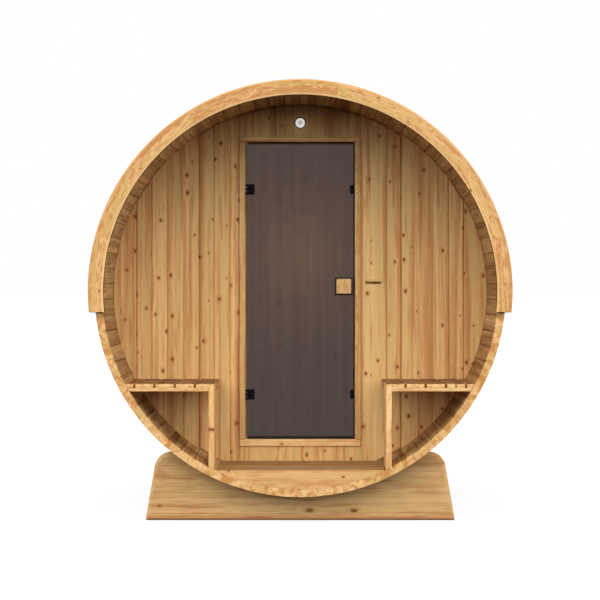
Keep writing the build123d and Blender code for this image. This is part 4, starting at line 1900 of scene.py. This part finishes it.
@dataclass
class Studio:
    """A pale floor, soft daylight from above and in front, and the camera."""

    layout: Layout
    camera_distance: float = 10.118  # in front of the barrel's front edge
    camera_lift: float = 0.0055  # above the barrel's axis
    camera_shift: tuple[float, float] = (-0.0003, -0.0159)
    lens: float = 111.6
    front_sky: float = 2.62
    rear_sky: float = 1.6
    between_skies: tuple[float, float] = (-0.3, 0.3)  # the directions' Y where they blend
    zenith: float = 0.25  # the sky overhead, as a share of the sky lower down
    haze: tuple = (0.9, 1.0, 1.16, 1.0)  # the sky's light near the horizon
    clear: tuple = (1.0, 0.993, 0.975, 1.0)  # and higher up
    dawn: tuple[float, float] = (-0.02, 0.09)  # the directions' Z where the sky comes up
    clearing: tuple[float, float] = (0.1, 0.4)  # where the haze clears
    dimming: tuple[float, float] = (0.62, 0.92)  # and where the sky dims overhead
    cabin_lamp: tuple = (2.0, (0.83, 0.92, 1.0))  # its power in watts, and its colour
    lamp_radius: float = 0.12
    lamp_place: tuple[float, float] = (0.4, 0.25)  # before the rear wall, and above the axis
    cabin_panel: tuple = (2.4, (0.85, 0.93, 1.0))
    panel_size: tuple[float, float] = (1.0, 1.6)
    panel_gap: float = 0.1  # behind the front wall
    floor_size: float = 900  # far past what any view shows

    def world(self) -> None:
        """Lights the scene with half a sky, brighter in front, before a white background."""
        world = bpy.data.worlds.new("studio")
        bpy.context.scene.world = world
        world.use_nodes = True
        world.node_tree.nodes.clear()
        node = partial(add_node, world.node_tree)
        _, depth, height = node("SeparateXYZ", (node("TexCoord"),)).outputs
        up = node("MapRange", (height, *self.dawn), **SOFT)
        behind = node("MapRange", (depth, *self.between_skies), **SOFT)
        sky = node("MapRange", (behind, 0.0, 1.0, self.front_sky, self.rear_sky))
        strength = node("MapRange", (up, 0.0, 1.0, 0.0, sky))
        overhead = node("MapRange", (height, *self.dimming, 1.0, self.zenith), **SOFT)
        strength = node("Math", (strength, overhead), operation="MULTIPLY")
        higher = node("MapRange", (height, *self.clearing))
        mixed = {FACTOR: higher, COLOUR_A: self.haze, COLOUR_B: self.clear}
        shade = node("Mix", mixed, data_type="RGBA").outputs[COLOUR_OUT]
        light = node("Background", (shade, strength))
        white = node("Background", ((1.0, 1.0, 1.0, 1.0), 1.0))
        node("OutputWorld", (node("MixShader", (seen(node), light, white)),))

    def floor(self) -> None:
        """Lays the floor."""
        bm = bmesh.new()
        bmesh.ops.create_grid(bm, x_segments=1, y_segments=1, size=self.floor_size)
        mesh = bpy.data.meshes.new("studio_floor")
        bm.to_mesh(mesh)
        bm.free()
        mesh.materials.append(StudioPaint("matt_white_studio_floor").material())
        put("studio_floor", mesh)

    def cabin_light(self) -> None:
        """Lights the cabin, which the door's glass dims: a lamp, and a panel that faces back."""
        low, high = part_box("cabin_deck")
        before, above = self.lamp_place
        lamp = bpy.data.lights.new("cabin_lamp", "POINT")
        lamp.energy, lamp.color = self.cabin_lamp
        lamp.shadow_soft_size = self.lamp_radius
        panel = bpy.data.lights.new("cabin_panel", "AREA")
        panel.energy, panel.color = self.cabin_panel
        panel.shape = "RECTANGLE"
        panel.size, panel.size_y = self.panel_size
        for light, place, turn in (
            (lamp, (0, high.y - before, self.layout.axis + above), 0.0),
            (panel, (0, low.y + self.panel_gap, self.layout.axis), math.pi / 2),
        ):
            placed = put(light.name, light)
            placed.location = place
            placed.rotation_euler.x = turn
            placed.visible_camera = placed.visible_glossy = placed.visible_transmission = False

    def camera(self) -> None:
        """Sets the camera straight in front of the porch, level with the barrel's axis."""
        data = bpy.data.cameras.new("camera")
        data.lens = self.lens
        data.sensor_width = 36
        data.shift_x, data.shift_y = self.camera_shift
        camera = put("camera", data)
        front, axis = self.layout.front, self.layout.axis
        camera.location = (0, front - self.camera_distance, axis + self.camera_lift)
        camera.rotation_euler = (math.pi / 2, 0, 0)
        bpy.context.scene.camera = camera
        bpy.context.scene.view_settings.view_transform = "Standard"

    def build(self) -> None:
        """Sets up the whole studio."""
        self.world()
        self.floor()
        self.cabin_light()
        self.camera()


def main() -> None:
    """Builds the sauna and its studio."""
    logging.basicConfig(level=logging.INFO, format="%(message)s")
    layout = Layout.read()
    assemblies = (
        Studio(layout),
        Barrel(layout),
        Roof(layout),
        EndWalls(layout),
        Floors(layout),
        DoorFrame(),
        Door(),
        Bench(layout, Side.LEFT),
        Bench(layout, Side.RIGHT),
        Cradle("front_cradle"),
        Cradle("rear_cradle"),
    )
    for assembly in assemblies:
        assembly.build()
        log.info("built: %s", type(assembly).__name__)


if __name__ == "__main__":
    main()
